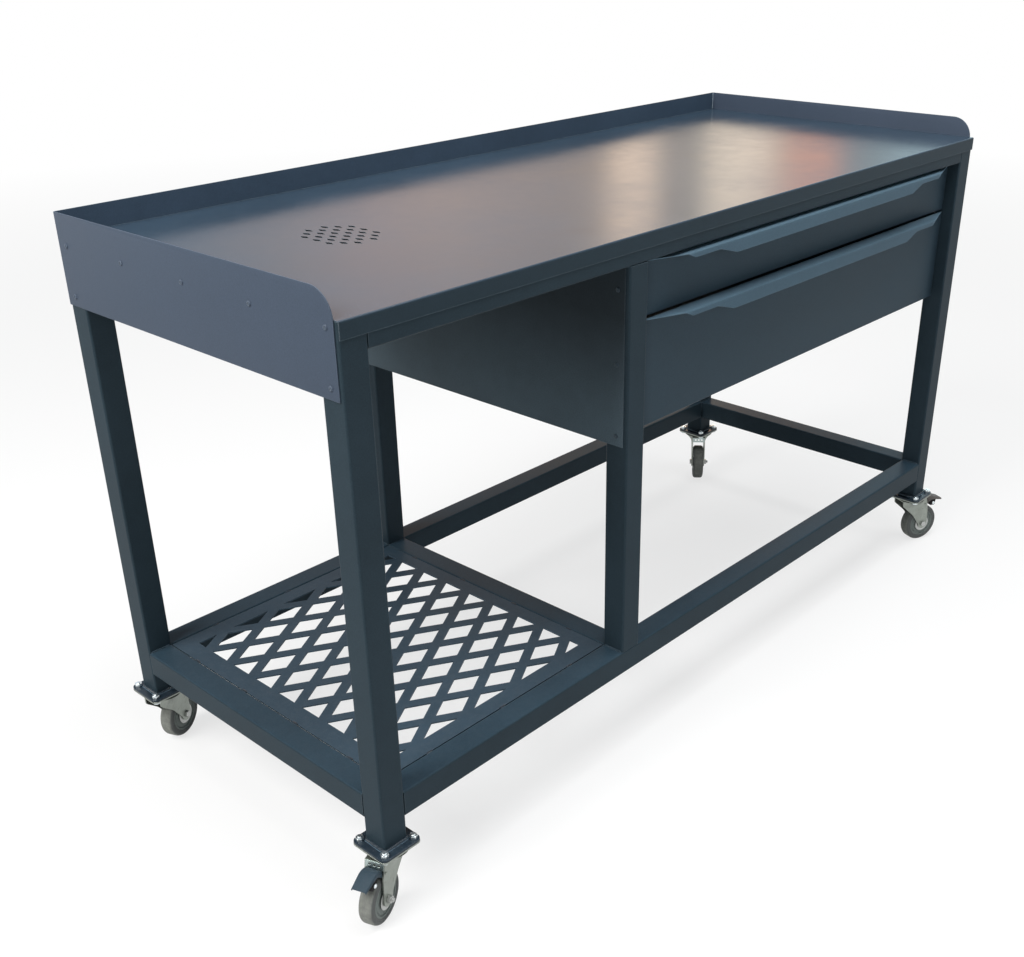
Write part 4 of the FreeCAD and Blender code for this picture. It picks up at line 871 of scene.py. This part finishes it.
def pedal(corner):
    """A pressed pedal over a rubber shoe: a channel section carried along the line of its top, which
    rises from the pivot, arches and then slopes down to the tip. Its cheeks end in a thin rim there."""
    origin, way = caster_place(corner)
    body = "pedal_body_" + corner
    pivot_x, pivot_z = 42.0, 107.0
    top = rounded([(-5, 3.2), (3.5, 5.4), (11, 12), (21, 15), (31, 14), (57.6, 4.6)],
                  (0, 8, 10, 12, 16, 0), steps=6)
    length = run_length(top)
    marks = np.linspace(0, length[-1], 44)
    path_x, path_z = np.interp(marks, length, top[:, 0]), np.interp(marks, length, top[:, 1])
    floor = np.interp(path_x, [-5, 8, 14, 22, 32, 44, 57.6], [-4, -4, 2, 7.5, 7, 4.2, 1.6])
    wall, bend = 2.0, 2.0
    inner = 14.4 - np.clip((path_x - 30) / 27, 0, 1)
    low = np.maximum(path_z - floor, bend + 0.01)
    angle = np.linspace(0, np.pi / 2, 6)[1:]
    flat = np.zeros((len(marks), 1))
    drop = np.concatenate([low[:, None], (low[:, None] + bend) / 2, flat + bend * (1 - np.sin(angle)),
                           flat], 1)
    side = np.concatenate([flat, flat, flat - bend * (1 - np.cos(angle)), flat - inner[:, None]], 1)
    right = np.stack([pivot_x + path_x[:, None] + 0 * drop, inner[:, None] + side,
                      pivot_z - wall / 2 + path_z[:, None] - drop], -1)
    left = right[:, -2::-1] * (1, -1, 1)
    sheet = placed(net(np.concatenate([right, left], 1)), origin, way)
    piece("pedal_sheet_" + corner, [sheet], body, "pedal_coat", ["brake_pedal_" + corner],
          "pedal_coat" if corner == "front_left" else "worn_pedal_coat", sharp=50, thick=wall, edge=0.4)
    outline = rounded([(22, -11), (37, -12), (40, 8), (17, 10)], 3, 4, True)
    points, faces = plate(outline, -13.2, 13.2, 1)
    points = np.stack([points[:, 0] + pivot_x, points[:, 2], points[:, 1] + pivot_z], 1)
    piece("pedal_shoe_" + corner, [placed((points, faces), origin, way)], body, "pedal_coat",
          finish="shoe_rubber", sharp=40)
    across = wheel_place(corner)[1]
    bolt_place = origin + way * (pivot_x + 30) + (0, 0, pivot_z - 4)
    pin_place = origin + way * pivot_x + (0, 0, pivot_z)
    bolt = turned(rounded([(-17.2, 0), (-17.2, 2.8), (-16, 4.2), (-15.3, 4.2), (-15.3, 2), (15.3, 2),
                           (15.3, 4.2), (16, 4.2), (17.2, 2.8), (17.2, 0)], 0.4, steps=3), 32)
    pin = turned(rounded([(-20.8, 0), (-20.8, 2), (-20, 2.5), (20, 2.5), (20.8, 2), (20.8, 0)], 0.3), 24)
    piece("pedal_bolt_" + corner, [placed(bolt, bolt_place, across)], body, "bright_zinc", sharp=40)
    piece("pedal_pin_" + corner, [placed(pin, pin_place, across)], body, "caster_zinc", sharp=40)


def foot_plates():
    """The plates at each caster: adapter with round corners, top plate, race housing and kingpin."""
    adapter_low, adapter_high = [corner[2] for corner in limits("caster_adapter_plates")]
    plate_low = adapter_low - 3
    race = [(plate_low + 0.2, 26), (plate_low + 0.2, 33), (plate_low - 1.2, 33), (plate_low - 3, 32.2),
            (plate_low - 4, 31.6), (plate_low - 4.4, 30.8), (plate_low - 4.4, 8),
            (130, 6), (122.4, 6), (122.2, 9.4), (120.6, 10), (119.8, 8.4), (119.8, 0)]
    race = upright(turned(rounded(race, 0.6, steps=3), 72))
    adapters = []
    tops = []
    for corner in CORNERS:
        base = middle("leg_" + corner) * (1, 1, 0)
        adapters.append(placed(plate(square_line(PLATE_HALF, 11), adapter_low, adapter_high, 0.8), base))
        tops.append(placed(plate(square_line(PLATE_HALF, 10), plate_low, adapter_low, 0.5), base))
        tops.append(placed(race, base))
    piece("adapter_plates", adapters, "frame", "frame_coat", ["caster_adapter_plates"], "weld_paint",
          sharp=35)
    piece("caster_plates", tops, "frame", "caster_zinc", ["caster_top_plates"], sharp=35)


def shelf_tacks():
    """Short tack welds in the seam round the shelf, each a low mound with two ripples."""
    node_name = "shelf_tack_welds"
    mesh = NODES[node_name].data
    co = np.empty(len(mesh.vertices) * 3, np.float32)
    mesh.vertices.foreach_get("co", co)
    co = co.reshape(-1, 3) / MM
    used = np.zeros(len(co), bool)
    skins = []
    top = co[:, 2].max()
    while not used.all():
        seed = co[np.argmin(used)]
        near = np.linalg.norm(co[:, :2] - seed[:2], axis=1) < 20
        near &= ~used
        used |= near
        low, high = co[near].min(0), co[near].max(0)
        skins.append(tack((low + high) / 2, high - low, top))
    piece("shelf_tacks", skins, "frame", "shelf_coat", [node_name], "weld_paint", sharp=60)


def tack(centre, size, top):
    """A mound: height = (1 - u^4) * (1 - v^2) over its seam, with u along and v across."""
    along_x = size[0] > size[1]
    u = np.linspace(-1, 1, 15)[:, None]
    v = np.linspace(-1, 1, 9)[None, :]
    reach = 7.8
    wide = 2.4 * np.sqrt(1 - 0.75 * u ** 4) * (1 - 0.1 * np.abs(np.sin(u * 6)))
    height = (1 - u ** 4) * (1 - v ** 2) * (1 - 0.25 * np.abs(np.sin(u * 7)))
    along = np.broadcast_to(u * reach, height.shape)
    across = v * wide
    points = np.empty((15, 9, 3))
    points[..., 0] = centre[0] + (along if along_x else across)
    points[..., 1] = centre[1] + (across if along_x else along)
    points[..., 2] = top - 1.0 + height
    under = points.copy()
    under[..., 2] = top - 1.3
    return together([net(points), net(under)])


def end_beads(node_name, axis, way, corners):
    """Beads across the low and the high end of a member, each facing along an axis, away from the
    member or into it. A corner is the member's lower or upper face and the bead's way up or down."""
    low, high = limits(node_name)
    skins = []
    for end, toward in ((low, way), (high, -way)):
        for face, up in corners:
            start, stop = low.copy(), high.copy()
            start[1 - axis] += 4
            stop[1 - axis] -= 4
            start[axis] = stop[axis] = end[axis]
            start[2] = stop[2] = (low, high)[face][2]
            side = np.zeros(3)
            side[axis] = toward
            skins.append(seam_bead(start, stop, side, (0, 0, up)))
    return skins


def seam_welds():
    """Beads in the inner corners where rails meet legs."""
    skins = []
    for level, corner in (("bottom", (1, 1)), ("top", (0, -1))):
        for side, axis in (("front", 0), ("rear", 0), ("left", 1), ("right", 1)):
            skins += end_beads("rail_%s_%s" % (level, side), axis, 1, [corner])
    for depth in ("front", "rear"):
        skins += end_beads("leg_%s_middle" % depth, 0, -1, [(0, 1), (1, -1)])
    piece("seam_beads", skins, "frame", "frame_coat", sharp=60)


def corner_seams():
    """Fine beads up the inner corners between the back upstand and the end panels, painted pale as a painted
    highlight along each corner.
    """
    top = limits("worktop")[1]
    back = top[1] - SHEET
    skins = []
    for side, inner, toward in (("left", 1, 1), ("right", 0, -1)):
        across = limits("end_panel_" + side)[inner][0]
        skins.append(seam_bead((across, back, FLAT), (across, back, top[2] - 1), (toward, 0, 0),
                               (0, -1, 0), 1.8))
    piece("corner_beads", skins, "frame", "panel_coat", finish="corner_highlight_paint", sharp=60)


# Camera and studio.

def camera():
    """A standing person's view of the bench from its front left."""
    lens = bpy.data.cameras.new("camera")
    lens.sensor_width = 36
    lens.lens = 43.295
    lens.shift_x = -0.0337
    lens.shift_y = 0.05225
    lens.clip_end = 400
    made = new_object("camera", lens)
    made.matrix_world = (Matrix.Translation((-1.9366, -1.6616, 1.5517))
                         @ Matrix.Rotation(math.radians(-47.24), 4, "Z")
                         @ Matrix.Rotation(math.radians(63.14), 4, "X")
                         @ Matrix.Rotation(math.radians(-0.67), 4, "Z"))
    bpy.context.scene.camera = made


def softbox(name, place, aim, width, height, watts, colour=(1, 1, 1)):
    """A rectangular lamp turned to a point."""
    lamp = bpy.data.lights.new(name, "AREA")
    lamp.shape = "RECTANGLE"
    lamp.size, lamp.size_y = width, height
    lamp.energy = watts
    lamp.color = colour
    made = new_object(name, lamp)
    made.location = place
    made.rotation_euler = (Vector(aim) - Vector(place)).to_track_quat("-Z", "Y").to_euler()


def plain_rays(tree):
    """1 on camera, glossy and transmission rays, which see the plain background."""
    rays = node(tree, "ShaderNodeLightPath")
    seen = sums(tree, "MAXIMUM", rays.outputs["Is Camera Ray"], rays.outputs["Is Glossy Ray"])
    return sums(tree, "MAXIMUM", seen, rays.outputs["Is Transmission Ray"])


def reflection_card():
    """Surroundings that only mirror-like surfaces see, behind and to the right of the bench: soft
    warm and cool upright bands on a curved wall round the camera's view."""
    count, radius, low, high = 120, 11.0, 0.02, 7.0
    bearing = np.radians(np.linspace(0, 90, count))
    points = np.empty((count, 2, 3))
    points[..., 0] = -1.94 + radius * np.sin(bearing)[:, None]
    points[..., 1] = -1.66 + radius * np.cos(bearing)[:, None]
    points[..., 2] = (low, high)
    skin, faces = net(points)
    mesh = bpy.data.meshes.new("reflection_card")
    mesh.from_pydata(skin.tolist(), [], faces)
    mark(mesh, "bearing", np.repeat(np.linspace(0, 1, count), 2))
    mark(mesh, "rise", np.tile([0.0, 1.0], count))
    made = new_object("reflection_card", mesh)
    for ray in ("camera", "diffuse", "transmission", "shadow"):
        setattr(made, "visible_" + ray, False)
    finish = bpy.data.materials.new("card_glow")
    tree = empty_tree(finish)
    ramp = node(tree, "ShaderNodeValToRGB", {0: mark_value(tree, "bearing")})
    stops = [(0.0, (0.11, 0.14, 0.17)), (28, (0.16, 0.18, 0.21)), (35, (0.3, 0.25, 0.23)),
             (39, (0.4, 0.3, 0.26)), (43, (0.43, 0.32, 0.26)), (48, (0.34, 0.26, 0.21)),
             (49.8, (0.36, 0.27, 0.2)), (50.8, (0.88, 0.66, 0.48)), (51.9, (0.88, 0.67, 0.5)),
             (53, (0.3, 0.245, 0.195)), (54.2, (0.33, 0.275, 0.215)), (55.1, (0.86, 0.71, 0.54)),
             (56.9, (0.86, 0.7, 0.54)), (57.8, (0.6, 0.45, 0.34)), (58.5, (0.62, 0.34, 0.24)),
             (60.1, (0.6, 0.33, 0.24)), (60.9, (0.25, 0.25, 0.24)), (62, (0.24, 0.28, 0.275)),
             (63.5, (0.36, 0.46, 0.48)), (66.5, (0.46, 0.59, 0.63)), (71, (0.3, 0.38, 0.42)),
             (90, (0.11, 0.14, 0.17))]
    stops = [(place / 90, colour) for place, colour in stops]
    for place, colour in stops[2:]:
        ramp.color_ramp.elements.new(place)
    for stop, (place, colour) in zip(ramp.color_ramp.elements, stops):
        stop.position = place
        stop.color = (*colour, 1)
    strength = stretched(tree, mark_value(tree, "rise"), 0.28, 0.6, 2.6, 4.1)
    glow = node(tree, "ShaderNodeEmission", {"Color": ramp.outputs[0], "Strength": strength})
    node(tree, "ShaderNodeOutputMaterial", {0: glow.outputs[0]})
    mesh.materials.append(finish)


def white_floor():
    """A wide white floor that keeps a faint shadow under the bench."""
    span = 60.0
    mesh = bpy.data.meshes.new("floor")
    mesh.from_pydata([(-span, -span, 0), (span, -span, 0), (span, span, 0), (-span, span, 0)], [],
                     [(0, 1, 2, 3)])
    floor = new_object("floor", mesh)
    finish = bpy.data.materials.new("floor_white")
    tree = empty_tree(finish)
    reach = node(tree, "ShaderNodeVectorMath", {0: object_place(tree)}, operation="LENGTH")
    far = stretched(tree, reach.outputs["Value"], 1.5, 7.0, 0.72, 1.0)
    matt = node(tree, "ShaderNodeBsdfDiffuse", {"Color": (0.8, 0.8, 0.8, 1)})
    glow = node(tree, "ShaderNodeEmission", {"Color": (1, 1, 1, 1), "Strength": 1.0})
    mixed = node(tree, "ShaderNodeMixShader",
                 {0: times(tree, far, plain_rays(tree)), 1: matt.outputs[0], 2: glow.outputs[0]})
    node(tree, "ShaderNodeOutputMaterial", {0: mixed.outputs[0]})
    mesh.materials.append(finish)


def studio():
    """White surroundings with a floor, three soft lamps and the reflected bands."""
    world = bpy.data.worlds.new("studio")
    bpy.context.scene.world = world
    tree = empty_tree(world)
    light = node(tree, "ShaderNodeBackground", {"Color": (0.88, 0.96, 1, 1), "Strength": 0.22})
    white = node(tree, "ShaderNodeBackground", {"Color": (1, 1, 1, 1), "Strength": 1.0})
    mixed = node(tree, "ShaderNodeMixShader",
                 {0: plain_rays(tree), 1: light.outputs[0], 2: white.outputs[0]})
    node(tree, "ShaderNodeOutputWorld", {0: mixed.outputs[0]})
    white_floor()

    softbox("key", (-3.6, 0.4, 3.7), (0, 0, 0.6), 2.4, 2.4, 250, (1, 0.985, 0.96))
    softbox("fill", (0.2, -4.4, 1.6), (0.1, 0, 0.6), 3.0, 2.4, 36, (0.95, 0.98, 1))
    softbox("overhead", (0.2, -0.9, 4.0), (0.1, -0.3, 1), 3.2, 1.6, 140)
    reflection_card()
    bpy.context.scene.view_settings.view_transform = "Standard"


camera()
studio()
dress_nodes()
for end_side in ("left", "right"):
    side_sheet("end_sheet_" + end_side, "end_panel_" + end_side, (1.2, 1.2, 1.2, 46), 12)
side_sheet("partition_sheet", "partition_panel", 1.5, 4, "partition_coat")
vent_shade_gauze()
for drawer in ("upper", "lower"):
    drawer_front(drawer)
all_screws()
foot_bolts()
foot_welds()
seam_welds()
corner_seams()
foot_plates()
shelf_tacks()
for place_name in CORNERS:
    fork(place_name)
    tyre(place_name)
    hub(place_name)
    thread_guards(place_name)
    axle(place_name)
for place_name in CORNERS[:2]:
    pedal(place_name)
